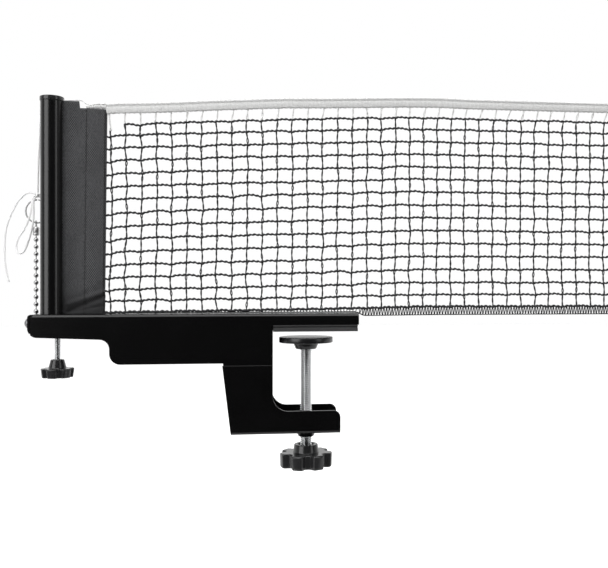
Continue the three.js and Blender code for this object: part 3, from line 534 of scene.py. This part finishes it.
# %% The floor
FLOOR_Z, GLOW = -0.15, 0.55
floor = piece("studio_floor", [(x, y, FLOOR_Z) for y in (-0.12, 3) for x in (-3, 3)], [[0, 1, 3, 2]])
floor_white, tree = blank_finish("studio white", (0.8, 0.8, 0.8), 0.9)[:2]
ray = add(tree, "LightPath").outputs
distance = add(tree, "SeparateXYZ", {"Vector": add(tree, "NewGeometry").outputs["Position"]}).outputs["Y"]
far_off = between(tree, distance, 0.0, 1.0, 0.2, 0.7)
mirrored = sum_of(tree, "MULTIPLY", far_off, ray["Is Glossy Ray"])
looking = sum_of(tree, "MAXIMUM", ray["Is Camera Ray"], mirrored)
looking = sum_of(tree, "MAXIMUM", looking, ray["Is Transmission Ray"])
glow = add(tree, "Emission", {"Color": (1, 1, 1, 1), "Strength": sum_of(tree, "MULTIPLY", looking, GLOW)})
lit = add(tree, "AddShader", {0: tree.nodes["Principled BSDF"].outputs[0], 1: glow.outputs[0]})
tree.links.new(lit.outputs[0], tree.nodes["Material Output"].inputs["Surface"])
dress(floor, floor_white)
print("floor at, mm:", FLOOR_Z / MM)

# %% The lamps
LIT_PLACE = (-0.05, 0, 0.04)


def soft_lamp(name, spot, size, power):
    """A rectangular softbox that faces the object."""
    data = bpy.data.lights.new(name, "AREA")
    data.shape = "RECTANGLE"
    data.size, data.size_y = size
    data.energy = power
    lamp = bpy.data.objects.new(name, data)
    lamp.location = spot
    lamp.rotation_euler = (Vector(LIT_PLACE) - Vector(spot)).to_track_quat("-Z", "Y").to_euler()
    scene.collection.objects.link(lamp)


soft_lamp("softbox_left", (-1.0, -0.85, 0.3), (0.9, 1.0), 9)
soft_lamp("softbox_right", (1.15, -0.85, 0.35), (0.42, 1.1), 2.6)
soft_lamp("top_light", (0.0, -0.45, 1.15), (1.8, 1.3), 22)
scene.view_settings.view_transform = "Standard"

# %% [markdown]
# ## The folded steel
# The bracket, the channel, the post, its cap and guide and the rubber pad already have the right form as
# solids. What they lack is the small rounding that a press, a mould and a coat of paint give every edge,
# where the light catches. So each is copied, its flat triangles are joined into whole faces, and its sharp
# edges get a bevel of a few tenths of a millimetre.


# %% Round the edges of solids
def softened(node, name, width, body, finish, slot, sharp=22):
    """A copy of a solid, its edges over sharp degrees rounded by width, in millimetres."""
    form = bmesh.new()
    form.from_mesh(nodes[node].data)
    bmesh.ops.remove_doubles(form, verts=form.verts, dist=1e-6)
    bmesh.ops.dissolve_limit(form, angle_limit=math.radians(0.6), verts=form.verts, edges=form.edges)
    crisp = [e for e in form.edges if e.is_manifold and e.calc_face_angle() > math.radians(sharp)]
    bmesh.ops.bevel(form, geom=crisp, offset=width * MM, segments=2, profile=0.6, affect="EDGES",
                    clamp_overlap=True, harden_normals=False)
    obj = shown(name, form, bpy.data.meshes.new(name))
    obj.modifiers.new("steady normals", "WEIGHTED_NORMAL").weight = 60
    return fitted(dress(obj, finish), slot, body, node)


softened("upper_bracket", "folded_bracket", 0.25, "bracket", satin_black, "black_paint")
softened("clamp_channel", "welded_channel", 0.25, "bracket", satin_black, "black_paint")
softened("post_tube", "slotted_post", 0.2, "post", gloss_black, "black_paint", sharp=40)
softened("jaw_pad", "rubber_pad", 0.15, "bracket", pad_rubber, "black_rubber")
softened("guide_block", "post_guide", 0.3, "bracket", black_nylon, "black_nylon", sharp=40)
cap = softened("post_cap", "cord_cap", 0.15, "post", knob_plastic, "black_plastic", sharp=40)

# %% [markdown]
# The cap's lip is thinner in the photograph than on the solid, so whatever stands above 152 mm is pressed
# down. The pieces inside the steel keep their solids and only get a finish.

# %% The cap's lip and the hidden pieces
LIP_Z, LIP_SQUASH = 0.152, 0.4
for point in cap.data.vertices:
    point.co.z = min(point.co.z, LIP_Z + LIP_SQUASH * (point.co.z - LIP_Z))

hidden = {"jaw_plate": satin_black, "foot_plug": knob_plastic, "net_rod": black_nylon,
          "height_nut": bright_zinc, "retaining_clip": bright_zinc}
for node, finish in hidden.items():
    for slot in nodes[node].material_slots:
        slot.material = finish
print("solids with a finish alone:", list(hidden))

# %% [markdown]
# ## Screws and bush
# A thread is a ridge that climbs by one pitch in each turn. Here it is real geometry: a grid of points round
# and along the screw, whose radius follows a flat-topped wave of height and angle together.


# %% Threaded rods
def threaded_rod(axis_x, low, high, radius, pitch, plain=()):
    """A right-hand threaded rod between two heights; plain lists necks as (low, high, radius)."""
    depth, sides = 0.6 * pitch, 40
    heights = np.arange(low, high, pitch / 9)
    angle = np.arange(sides) * TURN / sides
    turn = heights[:, None] / pitch - angle[None] / TURN
    wave = np.abs((turn % 1) * 2 - 1)
    crest = np.clip((wave - 0.14) / 0.68, 0, 1)
    ends = np.minimum(heights - low, high - heights)[:, None]
    reach = np.minimum(radius - depth * (1 - crest), radius - depth + np.maximum(ends, 0) * 0.9)
    for neck_low, neck_high, neck in plain:
        reach[(heights >= neck_low) & (heights <= neck_high)] = neck
    points = xyz(axis_x + reach * np.cos(angle), reach * np.sin(angle), heights[:, None])
    return points, tube_faces(len(heights), sides)


made("clamp_thread", threaded_rod(SCREW_X, -84.2, -6.7, 3.95, 1.25, plain=[(-10.1, -8.7, 3.2)]),
     bright_zinc, "bright_zinc", "clamp_screw_set", "clamp_screw")
made("height_thread", threaded_rod(3.5, -26.2, 0.85, 1.97, 0.7),
     bright_zinc, "bright_zinc", "height_screw_set", "height_screw")


# %% [markdown]
# The bush under the channel is turned: half of its section is drawn once and carried round the screw's axis.


# %% Turned pieces and the bush
def turned(profile, sides, centre_x=0):
    """A profile of (radius, height) turned about a vertical axis. Radius 0 closes it on the axis."""
    points, rings = [], []
    for radius, height in profile:
        if radius == 0:
            rings.append([len(points)])
            points.append((centre_x, 0, height))
            continue
        rings.append(list(range(len(points), len(points) + sides)))
        for angle in (TURN * k / sides for k in range(sides)):
            points.append((centre_x + radius * math.cos(angle), radius * math.sin(angle), height))
    if profile[0][0] != 0:
        rings.append(rings[0])
    faces = []
    for low, high in zip(rings, rings[1:]):
        for k in range(sides):
            a, b = low[k % len(low)], low[(k + 1) % len(low)]
            c, d = high[(k + 1) % len(high)], high[k % len(high)]
            faces.append([v for i, v in enumerate((a, b, c, d)) if v not in (a, b, c, d)[:i]])
    return np.array(points), faces


bush = turned([
    (4.25, -70.75), (4.9, -70.75), (5.2, -70.6), (6.4, -67.9), (6.65, -67.5), (6.7, -66.9), (6.7, -66.76),
    (5.6, -66.76), (5.6, -61.8), (5.4, -61.4), (5.1, -61.2), (4.25, -61.2),
], 72, SCREW_X)
made("threaded_bush", bush, satin_black, "black_paint", "bracket", "thread_bush")

# %% [markdown]
# The pressure plate is a moulded disc on a hub that swivels on the screw's end. Its top is flat, because it
# bears on the table's underside, and its rim is only just rounded, which gives the thin pale line round it.

# %% Pressure plate
plate = turned([
    (0, -4.2), (10, -4.2), (17.4, -4.2), (17.7, -4.25), (17.92, -4.42), (18, -4.7), (18, -7.45),
    (17.93, -7.7), (17.75, -7.84), (17.4, -7.9), (15, -7.9), (10.0, -7.95), (8.9, -8.1), (8.4, -8.4),
    (8.15, -8.9), (8.05, -9.4), (7.15, -11.7), (6.9, -12.05), (6.4, -12.3), (4.6, -12.3), (4.3, -12.1),
    (4.3, -10.25), (5.3, -10.25), (5.3, -8.5), (4.3, -8.5), (4.3, -6.35), (0, -6.35),
], 96, SCREW_X)
made("swivel_plate", plate, plate_plastic, "black_plastic", "clamp_plate", "pressure_plate")

# %% [markdown]
# ## Star knobs
# Both knobs are the same kind of moulding: lobes that fingers fit between, under a tapered hub that holds
# the screw. The large one has seven lobes, the small one six. The outline is one wave round the circle,
# raised through rings that shrink at the top and bottom, so that the edges are round.


# %% Easy slopes and round edges
def smoothstep(x, low, high):
    """0 below low, 1 above high, and an easy slope between them."""
    t = np.clip((np.asarray(x, float) - low) / (high - low), 0, 1)
    return t * t * (3 - 2 * t)


def round_over(edge, steps=6):
    """Drop and inset of a quarter round, from the flat to the wall."""
    angles = [math.pi / 2 * k / steps for k in range(steps + 1)]
    return [(edge * (1 - math.cos(a)), edge * (1 - math.sin(a))) for a in angles]


# %% Star knobs
def star_knob(centre_x, top, lobes, radius, valley, valley_share, lobe_share, height, taper, edge,
              hub_top, hub_base, hub_height, recess, recess_radius, hole, turn):
    """A knob like its solid, with more points, from the same values as the solid's."""
    count = 240
    angle = np.arange(count) * TURN / count
    wave = np.abs((angle * lobes / TURN) % 1 * 2 - 1)
    star = valley + (radius - valley) * smoothstep(wave, valley_share, lobe_share)
    angle = angle + math.radians(turn)
    high = top - hub_height
    low, wall, floor_radius = high - height, height - 2.2 * edge, valley - 3.3
    rings = [
        (0.4, high - 3), (hole, high - 3), (hole, top - recess), (recess_radius - 0.4, top - recess),
        (recess_radius, top - 0.25), (recess_radius + 0.25, top), (hub_top - 0.3, top),
        (hub_top - 0.05, top - 0.1), (hub_top + 0.05, top - 0.35), (hub_base - 0.02, high + 0.5),
        (hub_base + 0.1, high + 0.1), (hub_base + 0.3, high), (hub_base + 0.6, high),
        (star - edge - 0.3, high),
    ]
    rings += [(star - inset, high - drop) for drop, inset in round_over(edge)]
    rings += [(star - taper * k, high - edge - wall * k) for k in (0.08, 0.35, 0.65, 0.92, 1)]
    rings += [(star - taper - inset, low + drop * 1.2) for drop, inset in reversed(round_over(edge)[:-1])]
    rings += [(star - taper - edge - 0.3, low), (floor_radius + 0.3, low), (floor_radius, low + 0.1),
              (floor_radius - 0.2, low + 1.0), (floor_radius - 0.6, low + 1.2), (0.4, low + 1.2)]
    points = np.concatenate([
        xyz(centre_x + reach * np.cos(angle), reach * np.sin(angle), z) for reach, z in rings])
    return points, tube_faces(len(rings), count)


clamp_star = star_knob(
    SCREW_X, -76.1, lobes=7, radius=17.6, valley=13.8, valley_share=0.22, lobe_share=0.62,
    height=9.5, taper=0.2, edge=1.0, hub_top=7.9, hub_base=8.6, hub_height=5.3, recess=1.6,
    recess_radius=5.7, hole=4.3, turn=40.4)
made("clamp_star", clamp_star, knob_plastic, "black_plastic", "clamp_screw_set", "clamp_knob")
height_star = star_knob(
    3.5, -17.7, lobes=6, radius=10.3, valley=8.4, valley_share=0.12, lobe_share=0.51,
    height=6.0, taper=0.6, edge=0.6, hub_top=4.2, hub_base=5.5, hub_height=5.6, recess=0.5,
    recess_radius=3.0, hole=2.3, turn=20.4)
made("height_star", height_star, knob_plastic, "black_plastic", "height_screw_set", "height_knob")

# %% [markdown]
# ## End screw, ring, coupling and ball chain
# The end screw has a domed head with a socket and lies along X, so its turned form is laid over.

# %% End screw
END_SCREW = (-11.65, -7.6, 6.2)          # under its head, on the flap's outside
dome = [(3.5 * math.cos(a), 0.35 + 2.7 * math.sin(a)) for a in np.linspace(0.12, 1.2, 9)]
screw_points, screw_faces = turned([
    (0, -6.0), (1.95, -6.0), (1.95, 0.0), (3.5, 0.0), (3.5, 0.35), *dome, (1.15, 3.0), (1.1, 1.7), (0, 1.5),
], 48)
across, up, along = screw_points.T
screw_points = xyz(END_SCREW[0] - along, END_SCREW[1] + up, END_SCREW[2] + across)
made("end_screw_dome", (screw_points, screw_faces), dull_zinc, "bright_zinc", "bracket", "end_screw")

# %% Wire ring
t = np.linspace(0.05, TURN - 0.05, 97)   # the wire's ends leave a small gap
ring_path = xyz(RING[0] + RING_RADIUS * np.sin(t), RING[1], RING[2] + RING_RADIUS * np.cos(t))
made("wire_ring", sweep(ring_path, RING_WIRE, 14), nickel, "bright_zinc", "bracket", "cord_ring")

# %% [markdown]
# The chain hangs a little aslant between the ring and its slot. Its pieces are made about Z and then turned
# into that line: a barrel with an eye for the ring, crimped on the last ball, and balls joined by pins.

# %% Chain coupling
CHAIN_HOOK = np.array((-10.6, 3.0, 11.05))
LEAN = 0.9               # how far left of the ring's middle the eye hangs
ring_low = np.array((RING[0] - LEAN, RING[1], RING[2] - math.sqrt(RING_RADIUS**2 - LEAN**2)))
chain_way = unit(ring_low - CHAIN_HOOK)


def gathered(forms):
    """Several forms of points and faces as one."""
    points, faces, count = [], [], 0
    for some, ways in forms:
        points.append(np.asarray(some))
        faces += [[v + count for v in face] for face in ways]
        count += len(some)
    return np.concatenate(points), faces


def along_chain(form):
    """Turns a form made about Z into the chain's direction, from the ring's lowest point."""
    points, faces = form
    side = unit(np.cross((0, 1, 0), chain_way))
    depth = np.cross(chain_way, side)
    return ring_low + points[:, :1] * side + points[:, 1:2] * depth + points[:, 2:] * chain_way, faces


t = np.linspace(0, TURN, 41)
eye = sweep(xyz(0, 1.4 * np.cos(t), 1.4 * np.sin(t)), 0.4, 10, across=(1, 0, 0))
barrel = turned([
    (0, -6.8), (1.1, -6.8), (1.1, -8.6), (1.65, -8.6), (2.0, -8.35), (2.2, -7.9), (2.2, -7.3), (2.0, -7.1),
    (2.0, -6.9), (2.2, -6.7), (2.2, -3.9), (2.05, -3.3), (1.6, -2.85), (1.0, -2.7), (0.75, -2.5),
    (0.6, -1.4), (0, -1.4),
], 32)
coupling = along_chain(gathered([eye, barrel]))
made("chain_barrel", coupling, crimped, "bright_zinc", "bracket", "chain_coupling")

# %% Ball chain
BEAD_PITCH, BEAD_RADIUS, PIN_RADIUS = 4.7, 1.6, 0.38
BEADS = range(-2, 11)    # counted up from the one that is hooked in the slot
hook_depth = -np.linalg.norm(ring_low - CHAIN_HOOK)
arc = np.linspace(0, np.pi, 15)
chain_forms = []
for k in BEADS:
    centre = hook_depth + (k + 0.5) * BEAD_PITCH
    wall = [(BEAD_RADIUS * math.sin(a), centre - BEAD_RADIUS * math.cos(a)) for a in arc]
    chain_forms.append(turned([(0, wall[0][1]), *wall[1:-1], (0, wall[-1][1])], 20))
    low, high = centre + 1.3, centre + BEAD_PITCH - BEAD_RADIUS + 0.15
    chain_forms.append(turned([(0, low), (PIN_RADIUS, low), (PIN_RADIUS, high), (0, high)], 10))
made("bead_chain", along_chain(gathered(chain_forms)), nickel, "bright_zinc", "bracket", "ball_chain")
print("beads:", len(BEADS))

# %% [markdown]
# ## The net
# The net is knitted: each black row is a chain of small loops, so it looks bumpy, and each upright is two
# thin strands that twist round each other and open here and there. Between the top row and the tape the
# uprights are white. A few tables say how the rows sag towards the sleeve and how the uprights spread, and
# small random steps do the rest.

# %% Where the rows and uprights run
NET_LEFT, NET_RIGHT = 33.4, 386.3
BAR_END = 198.7          # the bracket's right end
TOP_ROW, ROW_PITCH, ROWS = 144.6, 8.587, 16
COLUMNS = 36.3 + 10 * np.arange(36)
TAPE_TOPS = {24: 148.5, 30: 148.8, 37: 149.1, 43: 149.7, 62: 150.4, 81: 151.5, 105: 153.2, 150: 155.8,
             177: 156.5, 205: 157.5, 232: 158.5, 255: 158.9, 275: 158.5, 320: 158.4, 390: 158.4}


def tape_top(x):
    """Height of the tape's upper edge."""
    return np.interp(x, list(TAPE_TOPS), list(TAPE_TOPS.values()))


def row_height(x, row):
    """Height of a black row, 0 at the top. The rows sag towards the sleeve, the upper ones most."""
    x = np.asarray(x, float)
    slack = np.interp(row, [0, 1, 6, 10, 13, 15], [0, 1.0, 1.1, 0.1, -0.8, 0])
    sag = np.interp(row, [0, 3, 8, 11, 15], [8.7, 7.4, 6.9, 5.8, 2.9])
    sag = sag * (np.clip(240 - x, 0, None) / 189) ** (1.25 - 0.035 * row)
    dip = 1.3 * np.exp(-np.clip(x - 36, 0, None) / 8) * math.sin(math.pi * row / 15)
    return TOP_ROW - ROW_PITCH * row + slack - sag - dip


row_list = np.arange(ROWS)
column_list = np.arange(len(COLUMNS))[:, None]
spread_out = np.interp(column_list, [0, 2, 6, 12, 15, 18, 24, 30, 35],
                       [0.9, 0.1, -0.7, -1.2, -0.4, -0.4, -2.8, -2.9, -2.4])
pull = np.interp(row_list, [0, 2, 4, 8, 11, 12, 13, 15], [-0.3, 0, 0.7, 0.3, -0.1, -1.1, -0.5, -0.3])[None]
bulge = 0.9 * (((row_list - 7.5) / 7.5) ** 2 - 0.3) * smoothstep(column_list, 18, 26)
pull = pull * (0.35 + 0.85 * np.exp(-column_list / 5)) + bulge
crossing_x = COLUMNS[:, None] + spread_out + pull + rng.normal(0, 0.32, (len(COLUMNS), ROWS))
up_and_down = np.where(column_list % 2, 1, -1) * (column_list < 20)
lift = rng.normal(0, 0.2, (len(COLUMNS), ROWS)) + 0.34 * up_and_down
lift[:, -1] *= 0.3
print("crossings:", crossing_x.size)


# %% Rows
def row_thread(row):
    """One row: bumps of the knitted loops, a slight arch between uprights, and a little wandering."""
    start = crossing_x[1, 0] if row == 0 else NET_LEFT
    x = np.arange(start, NET_RIGHT, 0.5)
    knots = np.concatenate([[crossing_x[0, row] - 10], crossing_x[:, row]])
    cell = np.interp(x, knots, np.arange(-1, len(COLUMNS)))
    z = row_height(x, row) + np.interp(cell, np.arange(len(COLUMNS)), lift[:, row])
    loops = TURN * cell * 3.3 + 0.8 * np.sin(cell * 0.9 + row)
    arch = 0.2 * np.cos(TURN * cell + 0.5)
    z = z - arch + 0.2 * np.sin(loops) + 0.12 * np.sin(cell * 2.3 + row * 1.9)
    at_knots = 0.16 * np.cos(TURN * cell).clip(0.6)
    radius = 0.68 + 0.13 * np.sin(loops + 1.2) + at_knots - 0.1 + 0.12 * (row == ROWS - 1)
    return sweep(xyz(x, 0.15 * np.sin(TURN * x / 5.1 + row), z), radius, 6)


rows = gathered([row_thread(row) for row in range(ROWS)])
made("net_rows", rows, black_twine, "black_thread", "post", "net_mesh")


# %% Uprights
def strand_pair(x_at, z_at):
    """Two thin strands through crossings, twisting round each other and opening in places."""
    z = np.append(np.arange(z_at[-1], z_at[0], 0.9), z_at[0])
    x = np.interp(z, z_at[::-1], x_at[::-1])
    spread = 0.22 + 0.8 * np.clip(np.sin(z * 0.23 + rng.uniform(0, 6.3)) - 0.62, 0, 1)
    phase = z * TURN / 9.5 + rng.uniform(0, 6.3)
    wander = x + 0.25 * np.sin(z * 0.37 + rng.uniform(0, 6.3))
    return [
        sweep(xyz(wander + sign * spread * np.cos(phase), 0.25 + sign * spread * np.sin(phase), z), 0.38, 5)
        for sign in (1, -1)
    ]


black_pairs, white_pairs = [], []
for c, column in enumerate(COLUMNS):
    heights = np.array([row_height(column, r) + lift[c, r] for r in range(ROWS)])
    if c == 0:           # the top row starts at the second upright, so the first one ends lower
        heights[0] = heights[0] - 0.45 * (heights[0] - heights[1])
    black_pairs += strand_pair(crossing_x[c], heights)
    tie_x = np.array([column + 0.3 * rng.normal(), crossing_x[c, 0]])
    white_pairs += strand_pair(tie_x, np.array([tape_top(column) - 6.7, heights[0]]))
made("net_uprights", gathered(black_pairs), black_twine, "black_thread", "post")
made("white_uprights", gathered(white_pairs), white_twine, "white_tape", "post")

# %% [markdown]
# The bottom edge is overlocked: a thread runs to and fro between the last row and a cord below it. On the
# bracket it leans back and lies on the top face, and past the jaw's end it hangs straight down.

# %% Bottom edge
EDGE_START, LEANS_BACK = 34.6, 2.6
ON_BRACKET, HANGS_TO = 12.3, 9.9         # the edge's height on the bracket and past it


def hanging(x):
    """0 where the edge lies on the bracket, 1 where it hangs free."""
    return smoothstep(x, BAR_END - 1, BAR_END + 6)


def foot_height(x):
    return ON_BRACKET + (HANGS_TO + 0.4 * smoothstep(x, BAR_END, 262) - ON_BRACKET) * hanging(x)


edge_x, down = [], []
x = EDGE_START
while x < NET_RIGHT - 1:
    steps, ways, pitch = ([0, 0.7], [0, 1], 1.9) if x > BAR_END else ([0, 0.25, 0.5], [0, 1, 0], 2.1)
    edge_x += [x + step for step in steps]
    down += ways
    x += pitch
edge_x, down = np.array(edge_x), np.array(down)
edge_z = np.where(down == 1, foot_height(edge_x), row_height(edge_x, ROWS - 1))
edge_z = edge_z + rng.normal(0, 0.12, len(edge_x))
edge_y = np.where(down == 1, LEANS_BACK * (1 - hanging(edge_x)), 0.0)
zigzag = flowing(xyz(edge_x + rng.normal(0, 0.06, len(edge_x)), edge_y, edge_z), 1.2)
low_x = np.arange(EDGE_START, NET_RIGHT, 0.6)
bumps = np.sin(low_x * 2.9)
low_cord = xyz(low_x, LEANS_BACK * (1 - hanging(low_x)), foot_height(low_x) + 0.12 * bumps)
bottom_edge = gathered([
    sweep(zigzag, 0.3 + 0.04 * hanging(zigzag[:, 0]), 5), sweep(low_cord, 0.36 + 0.08 * bumps, 6)])
made("net_bottom_edge", bottom_edge, black_twine, "black_thread", "post", "net_selvedge")

# %% [markdown]
# ## Tape and sleeve
# The tape is folded over the cord and sewn below it, so its top is a round roll and its sides pucker between
# the stitches. Its section is one line of points up the front, over the top and down the back, repeated
# along the tape and given a cloth's thickness.


# %% Cloth from a grid of points
def cloth_skin(middle, outward, thickness):
    """A closed form from a grid of points: a skin to each side of it, joined at the rim."""
    rows, columns = middle.shape[:2]
    half = outward * (np.asarray(thickness)[..., None] / 2)
    skins = np.concatenate([(middle + half).reshape(-1, 3), (middle - half).reshape(-1, 3)])
    count = rows * columns
    faces = grid_faces(rows, columns)
    faces += [[v + count for v in face] for face in faces]
    rim = list(range(columns)) + [r * columns + columns - 1 for r in range(1, rows)]
    rim += [count - 1 - c for c in range(1, columns)] + [r * columns for r in range(rows - 2, 0, -1)]
    faces += [[a, b, b + count, a + count] for a, b in zip(rim, rim[1:] + rim[:1])]
    return skins, faces


# %% Tape
TAPE_CLOTH, TAPE_HIGH = 0.4, 6.9
OVER_SLEEVE = 34.4       # the tape's lower edge is level up to here
tape_x = np.concatenate([
    np.arange(21.6, OVER_SLEEVE, 0.5), np.arange(OVER_SLEEVE, NET_RIGHT, 0.8), [NET_RIGHT]])
top = tape_top(tape_x) - np.clip(26.5 - tape_x, 0, 9) * 0.45
top = top + 0.16 * np.sin(tape_x * 2.1) + 0.1 * np.sin(tape_x * 4.3 + 2) + rng.normal(0, 0.06, len(tape_x))
bottom = np.where(tape_x < OVER_SLEEVE, 145.6, tape_top(tape_x) - TAPE_HIGH)
bottom = bottom + 0.16 * np.sin(tape_x * 1.9) + 0.1 * np.sin(tape_x * 3.7)
pucker = 0.16 * np.sin(tape_x * 2.3) + 0.12 * np.sin(tape_x * 3.9 + 1) + rng.normal(0, 0.05, len(tape_x))
# The front of the fold: how far it stands out, its share of the tape's height, its share of the pucker.
fold = [
    (-0.25, 0.0, 0.3), (-0.6, 0.1, 1), (-0.62, 0.16, 0.3), (-0.78, 0.3, 1), (-0.78, 0.45, 1),
    (-0.7, 0.58, 1), (-0.52, 0.68, 0.3), (-0.66, 0.76, 0.8), (-0.86, 0.84, 0.3), (-0.8, 0.92, 0),
    (-0.5, 0.965, 0), (0.0, 0.98, 0),
]
fold += [(-y, share, give) for y, share, give in reversed(fold[:-1])]
tape_grid = np.stack([
    xyz(tape_x, y + np.sign(y) * pucker * give, bottom + (top - bottom) * share) for y, share, give in fold])
out = np.array([(0, y / 0.9, 0.12 if abs(y) > 0.52 else 1.0) for y, share, give in fold])
out[[0, -1], 2] = 0
out = np.repeat(unit(out)[:, None], len(tape_x), 1)
tape_skin = cloth_skin(tape_grid, out, TAPE_CLOTH)
tape = made("folded_tape", tape_skin, tape_cloth, "white_tape", "post", "net_tape")

# %% [markdown]
# The sleeve is black cloth, hemmed round a rod inside the post. It comes out through the post's slot, steps
# down to pass under the tape, and is drawn in a little at its foot, which lays soft folds across it.

# %% The sleeve's grid
SLEEVE_LEFT, SLEEVE_RIGHT, SLEEVE_LOW = 3.4, 34.8, 11.8
TAB_X = 17.0             # left of here the sleeve's top is a higher tab
PULLED_IN = 0.042        # how much narrower the sleeve is at its foot, as a share
SEAM_FOOT, SEAM_LEAN = 20.4, 1.5
cloth_x = np.concatenate([np.linspace(SLEEVE_LEFT, TAB_X, 30), np.linspace(TAB_X + 0.5, SLEEVE_RIGHT, 44)])
share = np.linspace(0, 1, 130)[:, None] ** 1.15          # more rows near the foot, for its folds
head = np.where(cloth_x <= TAB_X, 150.1 - 1.15 * (cloth_x < 7.4), 145.6 - 0.03 * (cloth_x - TAB_X))
grid_x = np.repeat(cloth_x[None], len(share), 0)
grid_z = SLEEVE_LOW + (head[None] - SLEEVE_LOW) * share
grid_x = grid_x * (1 - PULLED_IN * (1 - share) * smoothstep(grid_x, 18, 34))
from_seam = grid_x - (SEAM_FOOT + SEAM_LEAN * share)
print("sleeve's grid:", grid_x.shape)

# %% The sleeve's folds
# Each crease runs up to the right: its slope, its height at x = 20, its width and its depth.
CREASES = [
    (0.42, 17.5, 1.3, 1.1), (0.34, 21.5, 1.6, -0.9), (0.2, 14.6, 0.9, 0.45), (0.55, 27.5, 2.2, -0.25)]
outside = smoothstep(grid_x, 7.5, 11)    # 0 in the post's slot, 1 clear of it
drape = 0.7 * np.sin((grid_x - 7.1) / 26.7 * TURN)
for slope, height, width, depth in CREASES:
    across = (grid_z - height - slope * (grid_x - 20)) / math.hypot(1, slope)
    drape = drape + depth * np.exp(-(across / width) ** 2)
drape = drape + 0.1 * np.sin(0.35 * grid_x + 0.05 * grid_z) + 0.08 * np.sin(0.16 * grid_z + 0.3 * grid_x)
drape = drape + 0.22 * np.exp(-((from_seam - 1.4) / 1.2) ** 2)
thick = 1.3 + 0.5 * smoothstep(grid_x, 31.4, 32.0) - 0.5 * np.exp(-(from_seam / 0.3) ** 2)
thick = thick * (0.55 + 0.45 * outside) * np.where(grid_x < 6, 0.8, 1.0)
panel_grid = xyz(grid_x, drape * outside, grid_z)
hem = turned([
    (4.35, SLEEVE_LOW), (4.4, 12.5), (4.4, 139.7), (4.3, 140.0), (2.95, 140.0), (2.85, 139.6), (2.85, 12.5),
    (2.95, SLEEVE_LOW),
], 32)
panel = cloth_skin(panel_grid, np.array((0, -1, 0)), thick)
sleeve = made("hemmed_sleeve", gathered([panel, hem]), sleeve_cloth, "black_cloth", "post", "net_sleeve")

# %% [markdown]
# The sleeve is sewn twice: a fine seam up its middle, and longer stitches along the bound edge at the net.
# Each stitch is a short bowed thread, whose place is read from the panel's own points. The thread is darker
# than the cloth, so along the seam it also paints the shade of the seam's groove.

# %% Sleeve stitches
LEVEL_COLUMN = 40        # a column of the panel that reaches the sleeve's lower top
STITCHED = (12.9, 144.5)
PANEL_HIGH, EVEN_ROWS = 134, 0.87        # undoes the power that crowds the rows at the foot


def share_at(z):
    """The share of the panel's height at z, near enough for a stitch."""
    return ((z - SLEEVE_LOW) / PANEL_HIGH) ** EVEN_ROWS


def seam_at(z):
    return SEAM_FOOT + SEAM_LEAN * share_at(z)


def edge_at(z):
    return SLEEVE_RIGHT * (1 - PULLED_IN * (1 - share_at(z))) - 1.1


def front_of(x, z):
    """How far forward the panel's front lies at a place on it."""
    row = np.argmin(np.abs(grid_z[:, LEVEL_COLUMN] - z))
    column = np.argmin(np.abs(grid_x[row] - x))
    return panel_grid[row, column, 1] - thick[row, column] / 2


def stitches(x_at, sunk, length, radius, pitch=2.1):
    """A row of short stitches up a line on the cloth's front."""
    forms = []
    for z in np.arange(*STITCHED, pitch):
        path = []
        for d in np.linspace(0, length, 5):
            bow = 0.16 * math.sin(math.pi * d / length)
            path.append((x_at(z + d), front_of(x_at(z + d), z + d) - sunk - bow, z + d))
        forms.append(sweep(np.array(path), radius, 5))
    return forms


seam_forms = stitches(seam_at, 0.05, 1.6, 0.2) + stitches(edge_at, 0.02, 1.9, 0.3)
seam_thread = made("sleeve_stitches", gathered(seam_forms), stitching_with_seam_shade, "black_cloth", "post")
print("sleeve stitches:", len(seam_forms))
